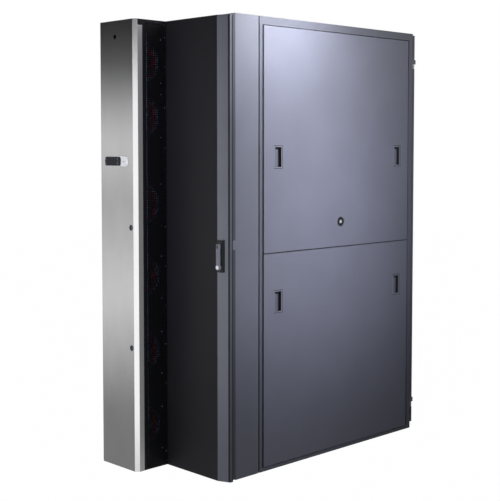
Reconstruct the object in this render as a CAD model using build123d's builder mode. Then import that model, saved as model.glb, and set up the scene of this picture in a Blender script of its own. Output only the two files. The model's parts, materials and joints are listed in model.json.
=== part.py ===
"""Rear door heat exchanger: a water-cooled fan door hung on the rear of a server cabinet.

X runs across the cabinet, -Y is the rear where the cooling door hangs, +Y is the cabinet's front, Z is up.
The origin is on the floor under the middle of the whole product. Lengths are millimetres.
"""

import os
from math import sqrt

from build123d import *

os.makedirs("parts", exist_ok=True)

# Whole product
width = 640.0
foot_height = 20.0
cabinet_height = 2000.0
cabinet_depth = 1082.0
sheet = 1.5
plate = 2.0
seat_gap = 0.3
running_gap = 0.05

# Layers from the steel cover's face at the rear to the front door's face
cover_projection = 199.0
leaf_thickness = 15.0
seal_gap = 15.0
transition_depth = 138.0
joint_gap = 7.0
front_gap = 4.0
front_door_depth = 29.0

# Cabinet frame
plinth_height = 15.0
plinth_width = 110.0
crown_height = 33.0
rail_height = 40.0
rail_width = 36.0
post_width = 60.0
post_depth = 45.0
rear_post_strip = 17.0
front_post_strip = 26.0
member_height = 40.0
member_inset = 0.16

# Side panels with their latches and locks
panel_depth = 18.0
panel_side_gap = 10.0
panel_end_gap = 3.0
panel_split_gap = 5.0
panel_split_height = 967.0
latch_width = 50.0
latch_height = 98.0
latch_flange = 1.2
latch_rim = 5.0
latch_cup_depth = 14.0
latch_inset = 88.0
upper_latch_height = 1391.0
lower_latch_height = 750.0
latch_travel = 11.0
slider_width = 21.0
panel_lock_height = 1085.0
panel_lock_radius = 22.5
panel_lock_barrel = 10.0
panel_lock_cam = 40.0

# Nineteen inch mounting rails
rack_inset = 95.0
rack_opening = width - 2 * rack_inset
rack_hole_margin = 15.1
rack_hole_span = rack_opening + rack_hole_margin
rack_unit = 44.45
rack_hole_step = 3
rack_hole = 9.5
rail_sheet = 2.5
rail_depth = 45.0
rear_rail_inset = 160.0
front_rail_inset = 120.0

# Levelling feet
foot_pad_radius = 22.0
foot_pad_height = 9.0
foot_stud_radius = 6.0
foot_inset_x = 80.0
foot_inset_y = 90.0

# Transition frame between the cabinet and the door
transition_side = 22.0
transition_latch_side = 66.0
transition_rail = 40.0
transition_neck = 8.0
keeper_reach = 20.0
keeper_half_height = 20.0

# Cooling door's leaf
door_low = 5.0
door_top_drop = 8.0
leaf_hinge_stile = 35.0
leaf_latch_stile = 75.0
leaf_rail = 40.0
knuckle_radius = 6.0
knuckle_length = 30.0
hinge_pin_radius = 3.0
hinge_notch = 9.0
hinge_low = 185.0
hinge_drop = 212.0

# Front of the cooling door: steel cover, fan wall, closing panel, latch strip
cover_width = 248.0
cover_bevel = 16.0
cover_flange = 26.0
cover_flange_drop = 27.0
cover_edge = 14.0
cover_hinge_inset = 8.0
cover_knuckle = 5.0
cover_pin_radius = 2.5
cover_hinge_end = 300.0
cover_hinge_length = 20.0
cover_lock_heights = (547.0, 1081.0)
cover_lock_inset = 17.0
cover_lock_radius = 13.0
cover_lock_shank = 10.0
cover_cam_length = 32.0
cover_hole_radius = 10.0
cover_hole_x = 107.0
cover_hole_drop = 71.0
panel_projection = 23.0
strip_width = 56.0
fan_plate_recess = 67.0
grille_front_gap = 19.5
grille_lip = 21.0
grille_hole = 40.0
grille_pitch_y = 52.0
grille_pitch_z = 72.0
housing_front_gap = 4.5

# Fans, at shares of the cabinet's height, their bands and sleeves drawn with flat sides
fan_shares = (0.086, 0.257, 0.4265, 0.589, 0.7855, 0.906)
fan_sides = 24
fan_plate_front_gap = 2.0
fan_plate_drop = 14.5
fan_ring_radius = 90.0
fan_sleeve_radius = 86.0
fan_sleeve_depth = 42.0
fan_tip_gap = 2.5
fan_band = 3.0
fan_blades = 5
fan_hub_radius = 34.0
fan_depth = 24.0
fan_motor_depth = 42.0
fan_shaft_radius = 8.0
fan_arm_width = 9.0

# Coil and water side
coil_depth = 92.0
coil_wall = 2.0
coil_end_room = 66.0
bend_room = 30.0
bend_reach = 20.0
tray_height = 18.0
fin_pitch = 20.0
fin_slot = 15.0
fin_slot_depth = 42.0
pipe_radius = 12.0
pipe_wall = 1.5
pipe_sides = 16
supply_pipe_x = 51.0
return_pipe_x = 80.0
supply_layer = 26.0
return_layer = 66.0
tube_radius = 5.0
tube_rows = 7
tube_sides = 8
supply_run_height = 150.0
return_run_height = 90.0
supply_leg = 60.0
return_leg = 110.0
leg_bottom = 60.0
thread_radius = 16.6
thread_length = 30.0
union_radius = 22.0
union_length = 18.0

# Control box
control_depth = 46.0
control_width = 80.0
control_length = 400.0
control_height = 1100.0
control_inset = 12.0

# Swing handle, with its axis straight through the leaf
handle_inset = 39.0
handle_height = 971.0
escutcheon_width = 30.0
escutcheon_length = 138.0
escutcheon_proud = 3.0
grip_width = 17.0
grip_thickness = 11.0
grip_gap = 1.5
spindle_radius = 6.0
spindle_rise = 47.0
lock_drop = 47.0
lock_radius = 8.5
lug_width = 6.0
lug_pin_radius = 2.0
cam_length = 35.0
cam_thickness = 3.0

# Display in the steel cover
display_centre_x = 115.5
display_height = 1372.0
bezel_length = 161.0
bezel_height = 44.0
bezel_thickness = 3.0
unit_length = 100.0
unit_height = 40.0
unit_thickness = 7.0
screen_length = 58.0
screen_height = 30.0
button_size = 5.0
button_length = 5.0
button_proud = 1.2
button_spread = 42.0
button_rise = 8.0

# Front door of the cabinet
front_door_low = 31.0
front_door_edge = 11.0
front_door_rail = 55.0
front_knuckle = 7.0
front_hinge_length = 22.0
front_hinge_low = 130.0
front_hinge_drop = 150.0
vent_width = 60.0
vent_height = 300.0
vent_pitch_x = 80.0
vent_pitch_z = 330.0
front_handle_inset = 41.0
front_handle_height = 1030.0
front_rosette = 3.0
front_grip_width = 22.0
front_grip_length = 120.0
front_grip_thickness = 10.0
front_cam_length = 34.0

# Places that follow from the sizes above
half = width / 2
cabinet_bottom = foot_height
cabinet_top = cabinet_bottom + cabinet_height
rear_proud = unit_thickness + button_proud
front_proud = front_rosette + front_grip_thickness
total_depth = (
    rear_proud
    + cover_projection
    + leaf_thickness
    + seal_gap
    + transition_depth
    + joint_gap
    + cabinet_depth
    + front_gap
    + front_door_depth
    + front_proud
)
leaf_y = rear_proud + cover_projection - total_depth / 2
leaf_back = leaf_y + leaf_thickness
transition_y0 = leaf_back + seal_gap
transition_y1 = transition_y0 + transition_depth
cabinet_y0 = transition_y1 + joint_gap
cabinet_y1 = cabinet_y0 + cabinet_depth
cabinet_mid_y = (cabinet_y0 + cabinet_y1) / 2
front_door_back = cabinet_y1 + front_gap
front_door_face = front_door_back + front_door_depth
door_bottom = cabinet_bottom - door_low
door_top = cabinet_top - door_top_drop
door_height = door_top - door_bottom
door_mid_z = (door_top + door_bottom) / 2
handle_x = half - handle_inset
front_handle_x = half - front_handle_inset

recess = panel_depth + seat_gap
plinth_top = cabinet_bottom + plinth_height
crown_bottom = cabinet_top - plate - crown_height
rail_x = half - recess - rail_width / 2
member_inner_x = half - recess - rail_width


def spread(low, high):
    """Two end heights with one more halfway between them."""
    return (low, (low + high) / 2, high)


hinge_zs = spread(door_bottom + hinge_low, door_top - hinge_drop)
cover_hinge_zs = spread(door_bottom + cover_hinge_end, door_top - cover_hinge_end)
front_hinge_zs = (cabinet_bottom + front_hinge_low, cabinet_top - front_hinge_drop)


def rear_plane(y):
    """A plane that faces the rear, with its local axes along X and Z."""
    return Plane(origin=(0, y, 0), x_dir=(1, 0, 0), z_dir=(0, -1, 0))


def side_plane(x, y=0.0, z=0.0):
    """A plane that faces +X, with its local axes along Y and Z."""
    return Plane(origin=(x, y, z), x_dir=(0, 1, 0), z_dir=(1, 0, 0))


# Cabinet: plinth ring with its upper rails and the holes for the feet
foot_x = half - foot_inset_x
foot_spots = [
    (side * foot_x, y)
    for side in (-1, 1)
    for y in (cabinet_y0 + foot_inset_y, cabinet_y1 - foot_inset_y)
]
inner_width = width - 2 * post_width
inner_depth = cabinet_depth - 2 * post_depth


def end_frame(ring_z, ring_height, rails_z):
    """One ring of the cabinet with four rails that stand between the posts."""
    with BuildPart() as ring:
        with BuildSketch(Plane.XY.offset(ring_z)):
            with Locations((0, cabinet_mid_y)):
                Rectangle(width, cabinet_depth)
                Rectangle(
                    width - 2 * plinth_width,
                    cabinet_depth - 2 * plinth_width,
                    mode=Mode.SUBTRACT,
                )
        extrude(amount=ring_height)
        with BuildSketch(Plane.XY.offset(rails_z)):
            with Locations((rail_x, cabinet_mid_y), (-rail_x, cabinet_mid_y)):
                Rectangle(rail_width, inner_depth)
            with Locations((0, cabinet_y0 + rail_width / 2), (0, cabinet_y1 - rail_width / 2)):
                Rectangle(inner_width, rail_width)
        extrude(amount=rail_height)
    return ring.part


with BuildPart() as base_frame:
    add(end_frame(cabinet_bottom, plinth_height, plinth_top))
    with Locations([(x, y, plinth_top) for x, y in foot_spots]):
        Hole(foot_stud_radius + seat_gap, depth=plinth_height)
base_frame.part.label = "base_frame"
export_step(base_frame.part, "parts/base_frame.step")

with BuildPart() as top_frame:
    add(end_frame(crown_bottom, crown_height, crown_bottom - rail_height))
top_frame.part.label = "top_frame"
export_step(top_frame.part, "parts/top_frame.step")

with BuildPart() as roof_panel:
    with BuildSketch(Plane.XY.offset(cabinet_top - plate)):
        with Locations((0, cabinet_mid_y)):
            RectangleRounded(width, cabinet_depth, plate)
    extrude(amount=plate)
roof_panel.part.label = "roof_panel"
export_step(roof_panel.part, "parts/roof_panel.step")

with BuildPart() as levelling_feet:
    with BuildSketch():
        with Locations(*foot_spots):
            RegularPolygon(foot_pad_radius, 12)
    extrude(amount=foot_pad_height, taper=20)
    with BuildSketch(Plane.XY.offset(foot_pad_height)):
        with Locations(*foot_spots):
            Circle(foot_stud_radius)
    extrude(amount=plinth_top + plinth_height - foot_pad_height)
    with BuildSketch(Plane.XY.offset(cabinet_bottom - foot_stud_radius)):
        with Locations(*foot_spots):
            RegularPolygon(foot_stud_radius * 1.7, 6)
    extrude(amount=foot_stud_radius - seat_gap)
levelling_feet.part.label = "levelling_feet"
export_step(levelling_feet.part, "parts/levelling_feet.step")


def post_outline(side, end_y, inward, strip):
    """Section of a corner post: a narrow outer strip and a wide inner leg."""
    steps = (
        (0, 0),
        (post_width, 0),
        (post_width, post_depth),
        (recess, post_depth),
        (recess, strip),
        (0, strip),
    )
    return [(side * (half - u), end_y + inward * v) for u, v in steps]


with BuildPart() as corner_posts:
    with BuildSketch(Plane.XY.offset(plinth_top)):
        for side in (-1, 1):
            with BuildLine():
                Polyline(*post_outline(side, cabinet_y0, 1, rear_post_strip), close=True)
            make_face()
            with BuildLine():
                Polyline(*post_outline(side, cabinet_y1, -1, front_post_strip), close=True)
            make_face()
    extrude(amount=crown_bottom - plinth_top)
corner_posts.part.label = "corner_posts"
export_step(corner_posts.part, "parts/corner_posts.step")

member_span = crown_bottom - plinth_top
with BuildPart() as cross_members:
    for member_z in (
        plinth_top + member_inset * member_span,
        cabinet_bottom + panel_split_height,
        crown_bottom - member_inset * member_span,
    ):
        with BuildSketch(Plane.XY.offset(member_z - member_height / 2)):
            with Locations((rail_x, cabinet_mid_y), (-rail_x, cabinet_mid_y)):
                Rectangle(rail_width, inner_depth)
        extrude(amount=member_height)
cross_members.part.label = "cross_members"
export_step(cross_members.part, "parts/cross_members.step")

# Mounting rails: four angles with one square hole for every third height unit
rails_bottom = plinth_top + rail_height + 1.0
rails_top = crown_bottom - rail_height - 1.0
rails_mid_z = (rails_bottom + rails_top) / 2
rack_holes = int((rails_top - rails_bottom) // (rack_hole_step * rack_unit))
flange_width = member_inner_x - rack_opening / 2
with BuildPart() as mounting_rails:
    for side in (-1, 1):
        for flange_y, inward in (
            (cabinet_y0 + rear_rail_inset, 1),
            (cabinet_y1 - front_rail_inset, -1),
        ):
            steps = (
                (rack_opening / 2, 0),
                (member_inner_x, 0),
                (member_inner_x, rail_depth),
                (member_inner_x - rail_sheet, rail_depth),
                (member_inner_x - rail_sheet, rail_sheet),
                (rack_opening / 2, rail_sheet),
            )
            with BuildSketch(Plane.XY.offset(rails_bottom)):
                with BuildLine():
                    Polyline(*[(side * u, flange_y + inward * v) for u, v in steps], close=True)
                make_face()
            extrude(amount=rails_top - rails_bottom)
    with BuildSketch(rear_plane(cabinet_y0)):
        with Locations((-rack_hole_span / 2, rails_mid_z), (rack_hole_span / 2, rails_mid_z)):
            with GridLocations(1, rack_hole_step * rack_unit, 1, rack_holes):
                Rectangle(rack_hole, rack_hole)
    extrude(amount=-cabinet_depth, mode=Mode.SUBTRACT)
mounting_rails.part.label = "mounting_rails"
export_step(mounting_rails.part, "parts/mounting_rails.step")

# Side panels: folded pans that hang between the posts
panel_y0 = cabinet_y0 + rear_post_strip + panel_side_gap
panel_y1 = cabinet_y1 - front_post_strip - panel_side_gap
panel_mid_y = (panel_y0 + panel_y1) / 2
lower_panel_z = (plinth_top + panel_end_gap, cabinet_bottom + panel_split_height - panel_split_gap / 2)
upper_panel_z = (cabinet_bottom + panel_split_height + panel_split_gap / 2, crown_bottom - panel_end_gap)
latch_ys = (panel_y0 + latch_inset, panel_y1 - latch_inset)
upper_latch_z = cabinet_bottom + upper_latch_height
lower_latch_z = cabinet_bottom + lower_latch_height
lock_spot = (panel_mid_y, cabinet_bottom + panel_lock_height)
cup_width = latch_width - latch_rim + 1.0
cup_height = latch_height - latch_rim + 1.0


def side_panel(side, z_range, latch_z, locks):
    """A panel pan on one side, cut out for its two latches and its locks."""
    low, high = z_range
    with BuildPart() as pan:
        with BuildSketch(side_plane(side * half)):
            with Locations((panel_mid_y, (low + high) / 2)):
                Rectangle(panel_y1 - panel_y0, high - low)
        extrude(amount=-side * panel_depth)
        inner_face = pan.faces().sort_by(Axis.X)[0 if side > 0 else -1]
        offset(amount=-sheet, openings=inner_face)
        outer_face = pan.faces().sort_by(Axis.X)[-1 if side > 0 else 0]
        chamfer(outer_face.edges(), sheet / 2)
        with BuildSketch(side_plane(side * half)):
            with Locations(*[(y, latch_z) for y in latch_ys]):
                Rectangle(cup_width + 2 * seat_gap, cup_height + 2 * seat_gap)
            for spot in locks:
                with Locations(spot):
                    Circle(panel_lock_barrel + running_gap)
        extrude(amount=-side * 2 * sheet, mode=Mode.SUBTRACT)
    return pan.part


for side, side_name in ((1, "right"), (-1, "left")):
    with BuildPart() as upper_side_panel:
        add(side_panel(side, upper_panel_z, upper_latch_z, (lock_spot,)))
    upper_side_panel.part.label = f"upper_side_panel_{side_name}"
    export_step(upper_side_panel.part, f"parts/upper_side_panel_{side_name}.step")

    with BuildPart() as lower_side_panel:
        add(side_panel(side, lower_panel_z, lower_latch_z, ()))
    lower_side_panel.part.label = f"lower_side_panel_{side_name}"
    export_step(lower_side_panel.part, f"parts/lower_side_panel_{side_name}.step")

# Latch cups: a flanged tray for each latch, with a cut-away back for the slider
latch_spots = [(y, z) for y in latch_ys for z in (upper_latch_z, lower_latch_z)]
recess_width = latch_width - 2 * latch_rim
recess_height = latch_height - 2 * latch_rim
recess_depth = latch_cup_depth - plate
with BuildPart() as latch_bezels:
    for side in (-1, 1):
        with BuildSketch(side_plane(side * half)):
            with Locations(*latch_spots):
                Rectangle(latch_width, latch_height)
        extrude(amount=side * latch_flange)
        with BuildSketch(side_plane(side * half)):
            with Locations(*latch_spots):
                Rectangle(cup_width, cup_height)
        extrude(amount=-side * latch_cup_depth)
        with BuildSketch(side_plane(side * (half + latch_flange))):
            with Locations(*latch_spots):
                Rectangle(recess_width, recess_height)
        extrude(amount=-side * (latch_flange + recess_depth), mode=Mode.SUBTRACT)
latch_bezels.part.label = "latch_bezels"
export_step(latch_bezels.part, "parts/latch_bezels.step")

slider_length = recess_height - latch_travel - 2 * seat_gap
slider_shift_y = -(recess_width - slider_width) / 2 + seat_gap
slider_shift_z = -(recess_height - slider_length) / 2 + seat_gap
for side, side_name in ((1, "right"), (-1, "left")):
    for latch_z, level in ((upper_latch_z, "upper"), (lower_latch_z, "lower")):
        with BuildPart() as panel_latches:
            with BuildSketch(side_plane(side * (half - recess_depth + seat_gap))):
                with Locations(*[(y + slider_shift_y, latch_z + slider_shift_z) for y in latch_ys]):
                    Rectangle(slider_width, slider_length)
            extrude(amount=side * (recess_depth - 2 * seat_gap))
            outer_faces = panel_latches.faces().group_by(Axis.X)[-1 if side > 0 else 0]
            chamfer(outer_faces.edges(), 3 * plate / 2)
        panel_latches.part.label = f"panel_latches_{level}_{side_name}"
        export_step(panel_latches.part, f"parts/panel_latches_{level}_{side_name}.step")

for side, side_name in ((1, "right"), (-1, "left")):
    with BuildPart() as panel_lock:
        with BuildSketch(side_plane(side * half)):
            with Locations(lock_spot):
                Circle(panel_lock_radius)
        extrude(amount=side * latch_flange)
        with BuildSketch(side_plane(side * half)):
            with Locations(lock_spot):
                Circle(panel_lock_barrel)
        extrude(amount=-side * (panel_depth - 4 * plate))
        with BuildSketch(side_plane(side * (half - panel_depth + 4 * plate))):
            with Locations((lock_spot[0], lock_spot[1] - panel_lock_cam / 2 + panel_lock_barrel / 2)):
                Rectangle(1.5 * panel_lock_barrel, panel_lock_cam)
        extrude(amount=-side * plate)
        with BuildSketch(side_plane(side * (half + latch_flange))):
            with Locations(lock_spot):
                Rectangle(plate, panel_lock_barrel)
        extrude(amount=-side * panel_lock_barrel / 2, mode=Mode.SUBTRACT)
    panel_lock.part.label = f"panel_lock_{side_name}"
    export_step(panel_lock.part, f"parts/panel_lock_{side_name}.step")

# Transition frame: an open channel ring that spaces the cooling door off the cabinet
transition_left = -half + transition_side
transition_right = half - transition_latch_side
transition_low = cabinet_bottom + transition_rail
transition_high = cabinet_top - transition_rail
spindle_z = cabinet_bottom + handle_height + spindle_rise
opening_mid_x = (transition_left + transition_right) / 2
opening_mid_z = (transition_low + transition_high) / 2
cabinet_mid_z = (cabinet_bottom + cabinet_top) / 2
hinge_x = -half + knuckle_radius
hinge_y = leaf_back + knuckle_radius
cam_y0 = leaf_back + 3 * seat_gap + plate
with BuildPart() as transition_frame:
    with BuildSketch(rear_plane(transition_y0)):
        with Locations((0, cabinet_mid_z)):
            Rectangle(width, cabinet_height)
        with Locations((opening_mid_x, opening_mid_z)):
            Rectangle(
                transition_right - transition_left,
                transition_high - transition_low,
                mode=Mode.SUBTRACT,
            )
    extrude(amount=-transition_depth)
    with BuildSketch(rear_plane(transition_y0 + plate)):
        with Locations((0, cabinet_mid_z)):
            Rectangle(width - 2 * plate, cabinet_height - 2 * plate)
    extrude(amount=-(transition_depth - 2 * plate), mode=Mode.SUBTRACT)
    with BuildSketch(rear_plane(transition_y1)):
        with Locations((0, cabinet_mid_z)):
            Rectangle(width - 2 * transition_neck, cabinet_height - 2 * transition_neck)
            Rectangle(
                width - 2 * transition_neck - 2 * plate,
                cabinet_height - 2 * transition_neck - 2 * plate,
                mode=Mode.SUBTRACT,
            )
    extrude(amount=-joint_gap)
    with BuildSketch(rear_plane(transition_y0)):
        with Locations((half - keeper_reach / 2, spindle_z)):
            Rectangle(keeper_reach, 2 * keeper_half_height)
    extrude(amount=transition_y0 - leaf_back - seat_gap)
    with BuildSketch(rear_plane(transition_y0)):
        with Locations((half - keeper_reach / 2 - plate, spindle_z)):
            Rectangle(keeper_reach, 2 * keeper_half_height)
    extrude(amount=transition_y0 - cam_y0 + seat_gap, mode=Mode.SUBTRACT)
transition_frame.part.label = "transition_frame"
export_step(transition_frame.part, "parts/transition_frame.step")

with BuildPart() as door_hinge_brackets:
    for joint_z in hinge_zs:
        with BuildSketch(Plane.XY.offset(joint_z - knuckle_length)):
            with Locations((hinge_x, hinge_y)):
                Circle(knuckle_radius)
            with Locations((hinge_x, (hinge_y + transition_y0) / 2)):
                Rectangle(2 * knuckle_radius, transition_y0 - hinge_y)
        extrude(amount=knuckle_length)
        with BuildSketch(Plane.XY.offset(joint_z)):
            with Locations((hinge_x, hinge_y)):
                Circle(hinge_pin_radius)
        extrude(amount=knuckle_length - plate)
door_hinge_brackets.part.label = "door_hinge_brackets"
export_step(door_hinge_brackets.part, "parts/door_hinge_brackets.step")

# Cooling door: leaf frame with its hinge knuckles
leaf_left = -half + leaf_hinge_stile
leaf_right = half - leaf_latch_stile
leaf_low = door_bottom + leaf_rail
leaf_high = door_top - leaf_rail
leaf_mid_x = (leaf_left + leaf_right) / 2
leaf_mid_z = (leaf_low + leaf_high) / 2
with BuildPart() as leaf_frame:
    with BuildSketch(rear_plane(leaf_y)):
        with Locations((0, door_mid_z)):
            Rectangle(width, door_height)
        with Locations((leaf_mid_x, leaf_mid_z)):
            Rectangle(leaf_right - leaf_left, leaf_high - leaf_low, mode=Mode.SUBTRACT)
        with Locations((handle_x, spindle_z)):
            Circle(spindle_radius + plate, mode=Mode.SUBTRACT)
    extrude(amount=-leaf_thickness)
    for joint_z in hinge_zs:
        with BuildSketch(Plane.XY.offset(joint_z + seat_gap)):
            with Locations((hinge_x, hinge_y)):
                Circle(knuckle_radius)
            with Locations((hinge_x, (hinge_y + leaf_back) / 2)):
                Rectangle(2 * knuckle_radius, hinge_y - leaf_back)
            with Locations((hinge_x, hinge_y)):
                Circle(hinge_pin_radius + running_gap, mode=Mode.SUBTRACT)
        extrude(amount=knuckle_length - seat_gap)
        with BuildSketch(Plane.XY.offset(joint_z - knuckle_length - plate)):
            with Locations((-half, leaf_y + leaf_thickness / 2)):
                Rectangle(hinge_notch * 2, leaf_thickness)
        extrude(amount=knuckle_length + plate + seat_gap, mode=Mode.SUBTRACT)
leaf_frame.part.label = "leaf_frame"
export_step(leaf_frame.part, "parts/leaf_frame.step")

gasket_width = 11.0
with BuildPart() as door_gasket:
    gasket_x0 = -half + 2 * knuckle_radius + plate / 2
    gasket_x1 = transition_right + gasket_width + plate
    gasket_z0 = cabinet_bottom + transition_rail / 2
    gasket_z1 = door_top - transition_rail / 2
    with BuildSketch(rear_plane(leaf_back)):
        with Locations(((gasket_x0 + gasket_x1) / 2, (gasket_z0 + gasket_z1) / 2)):
            Rectangle(gasket_x1 - gasket_x0, gasket_z1 - gasket_z0)
            Rectangle(
                gasket_x1 - gasket_x0 - 2 * gasket_width,
                gasket_z1 - gasket_z0 - 2 * gasket_width,
                mode=Mode.SUBTRACT,
            )
    extrude(amount=-(seal_gap - seat_gap))
door_gasket.part.label = "door_gasket"
export_step(door_gasket.part, "parts/door_gasket.step")

# Box behind the steel cover: hinge-side wall with top and bottom plates
cover_y = leaf_y - cover_projection
cover_right = -half + cover_width
grille_x = cover_right - sheet
fan_plate_x = grille_x - sheet - fan_plate_recess
cover_inner_y = cover_y + sheet
grille_front_y = cover_inner_y + grille_front_gap
panel_y = leaf_y - panel_projection
back_wall_y = leaf_y - 2 * sheet - plate
cover_edge_y = cover_y + cover_edge
housing_y = cover_edge_y + housing_front_gap
cover_hinge_x = -half + cover_hinge_inset
cover_hinge_y = cover_y + cover_hinge_inset
supply_x = -half + supply_pipe_x
return_x = -half + return_pipe_x
supply_leg_y = leaf_y - supply_leg
return_leg_y = leaf_y - return_leg
power_entry = ((fan_plate_x + return_x) / 2 + plate, leaf_y - supply_leg / 2)
with BuildPart() as side_housing:
    with BuildSketch(Plane.XY.offset(door_bottom)):
        with Locations((-half + plate / 2, (housing_y + leaf_y) / 2)):
            Rectangle(plate, leaf_y - housing_y)
    extrude(amount=door_height)
    for level in (door_bottom, door_top - plate):
        with BuildSketch(Plane.XY.offset(level)):
            with Locations(((fan_plate_x - half) / 2, (housing_y + leaf_y) / 2)):
                Rectangle(fan_plate_x + half, leaf_y - housing_y)
        extrude(amount=plate)
    with BuildSketch(Plane.XY.offset(door_bottom)):
        with Locations((supply_x, supply_leg_y), (return_x, return_leg_y)):
            Circle(union_radius + plate)
        with Locations(power_entry):
            Circle(pipe_radius)
    extrude(amount=plate, mode=Mode.SUBTRACT)
    for joint_z in cover_hinge_zs:
        with BuildSketch(Plane.XY.offset(joint_z - cover_hinge_length)):
            with Locations((cover_hinge_x, cover_hinge_y)):
                Circle(cover_knuckle)
            with Locations((cover_hinge_x, (cover_hinge_y + housing_y + cover_knuckle) / 2)):
                Rectangle(2 * cover_pin_radius, housing_y + cover_knuckle - cover_hinge_y)
            with Locations(((cover_hinge_x - half) / 2, housing_y + cover_knuckle / 2)):
                Rectangle(cover_hinge_x + half, cover_knuckle)
        extrude(amount=cover_hinge_length)
        with BuildSketch(Plane.XY.offset(joint_z)):
            with Locations((cover_hinge_x, cover_hinge_y)):
                Circle(cover_pin_radius)
        extrude(amount=cover_hinge_length - plate)
side_housing.part.label = "side_housing"
export_step(side_housing.part, "parts/side_housing.step")

# Fan plate with its back wall and its bottom flange
apron_y = grille_front_y + sheet
fan_plate_front_y = cover_inner_y + fan_plate_front_gap
fan_y = (fan_plate_front_y + back_wall_y) / 2
fan_zs = [cabinet_bottom + share * cabinet_height for share in fan_shares]
fan_plate_low = door_bottom + plate
fan_plate_high = door_top - fan_plate_drop
with BuildPart() as fan_plate:
    with BuildSketch(Plane.XY.offset(fan_plate_low)):
        with Locations((fan_plate_x + sheet / 2, (fan_plate_front_y + back_wall_y) / 2)):
            Rectangle(sheet, back_wall_y - fan_plate_front_y)
        with Locations(((fan_plate_x + grille_x) / 2, back_wall_y + sheet / 2)):
            Rectangle(grille_x - fan_plate_x, sheet)
    extrude(amount=fan_plate_high - fan_plate_low)
    with BuildSketch(Plane.XY.offset(fan_plate_low)):
        with Locations(((fan_plate_x + grille_x - sheet) / 2, (apron_y + back_wall_y) / 2)):
            Rectangle(grille_x - sheet - fan_plate_x, back_wall_y - apron_y)
    extrude(amount=sheet)
    with BuildSketch(side_plane(fan_plate_x)):
        with Locations(*[(fan_y, z) for z in fan_zs]):
            RegularPolygon(fan_sleeve_radius + seat_gap, fan_sides)
    extrude(amount=sheet, mode=Mode.SUBTRACT)
fan_plate.part.label = "fan_plate"
export_step(fan_plate.part, "parts/fan_plate.step")

# Fan rings: flanged bell-mouths that seat in the fan plate
ring_front_x = fan_plate_x + sheet + plate
impeller_radius = fan_sleeve_radius - sheet - fan_tip_gap
with BuildPart() as fan_rings:
    for z in fan_zs:
        with BuildSketch(side_plane(fan_plate_x + sheet, fan_y, z)):
            RegularPolygon(fan_ring_radius, fan_sides)
            RegularPolygon(fan_sleeve_radius - sheet, fan_sides, mode=Mode.SUBTRACT)
        extrude(amount=plate)
        with BuildSketch(side_plane(fan_plate_x + sheet, fan_y, z)):
            RegularPolygon(fan_sleeve_radius, fan_sides)
            RegularPolygon(fan_sleeve_radius - sheet, fan_sides, mode=Mode.SUBTRACT)
        extrude(amount=-(fan_sleeve_depth - plate))
fan_rings.part.label = "fan_rings"
export_step(fan_rings.part, "parts/fan_rings.step")

# Fan motors: each hangs on four arms from the rear of its ring
sleeve_end_x = ring_front_x - fan_sleeve_depth
motor_radius = fan_hub_radius + plate
arm_length = fan_sleeve_radius - sheet / 2
with BuildPart() as fan_motors:
    for z in fan_zs:
        with BuildSketch(side_plane(sleeve_end_x, fan_y, z)):
            RegularPolygon(motor_radius, fan_sides // 2)
            Rectangle(2 * arm_length, fan_arm_width)
            Rectangle(fan_arm_width, 2 * arm_length)
        extrude(amount=-plate)
        with BuildSketch(side_plane(sleeve_end_x - plate, fan_y, z)):
            RegularPolygon(motor_radius, fan_sides // 2)
        extrude(amount=-fan_motor_depth, taper=6)
        with BuildSketch(side_plane(sleeve_end_x, fan_y, z)):
            RegularPolygon(fan_shaft_radius, fan_sides // 3)
        extrude(amount=plate - seat_gap)
fan_motors.part.label = "fan_motors"
export_step(fan_motors.part, "parts/fan_motors.step")

# Impeller: hub, swept blades and an outer band, turned about the fan's axis
blade_root = fan_hub_radius - plate
blade_tip = impeller_radius - fan_band / 2
with BuildPart() as impeller:
    Cylinder(fan_hub_radius, fan_depth)
    with BuildSketch(Plane.XY.offset(-fan_depth / 2)):
        RegularPolygon(impeller_radius, fan_sides)
        RegularPolygon(impeller_radius - fan_band, fan_sides, mode=Mode.SUBTRACT)
    extrude(amount=fan_depth)
    with PolarLocations(0, fan_blades):
        with BuildSketch(Plane.YZ.offset(blade_root)):
            Rectangle(fan_depth * 1.1, plate, rotation=38)
        with BuildSketch(Plane.YZ.offset(blade_tip)):
            Rectangle(fan_depth * 1.75, plate, rotation=24)
        loft(ruled=True)
impeller_x = sleeve_end_x + plate + fan_depth / 2
for number, z in enumerate(fan_zs, 1):
    with BuildPart() as fan_impeller:
        with Locations(side_plane(impeller_x, fan_y, z)):
            add(impeller.part)
    fan_impeller.part.label = f"fan_impeller_{number}"
    export_step(fan_impeller.part, f"parts/fan_impeller_{number}.step")

# Fan grille: perforated wall that faces the latch side, with a lip for the cover's cams
grille_mid_y = (panel_y + cover_y + cover_bevel + cover_flange + plate) / 2
grille_span = panel_y - (cover_y + cover_bevel + cover_flange + plate)
grille_columns = int(grille_span // grille_pitch_y)
grille_rows = int(door_height // grille_pitch_z) - 1
with BuildPart() as fan_grille:
    with BuildSketch(Plane.XY.offset(door_bottom)):
        with Locations((grille_x - sheet / 2, (grille_front_y + back_wall_y) / 2)):
            Rectangle(sheet, back_wall_y - grille_front_y)
        with Locations((grille_x - grille_lip / 2, grille_front_y + sheet / 2)):
            Rectangle(grille_lip, sheet)
    extrude(amount=door_height)
    with BuildSketch(side_plane(grille_x - sheet, grille_mid_y, door_mid_z)):
        with GridLocations(grille_pitch_y, grille_pitch_z, grille_columns, grille_rows):
            Rectangle(grille_hole, grille_hole)
    extrude(amount=sheet, mode=Mode.SUBTRACT)
fan_grille.part.label = "fan_grille"
export_step(fan_grille.part, "parts/fan_grille.step")

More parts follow.
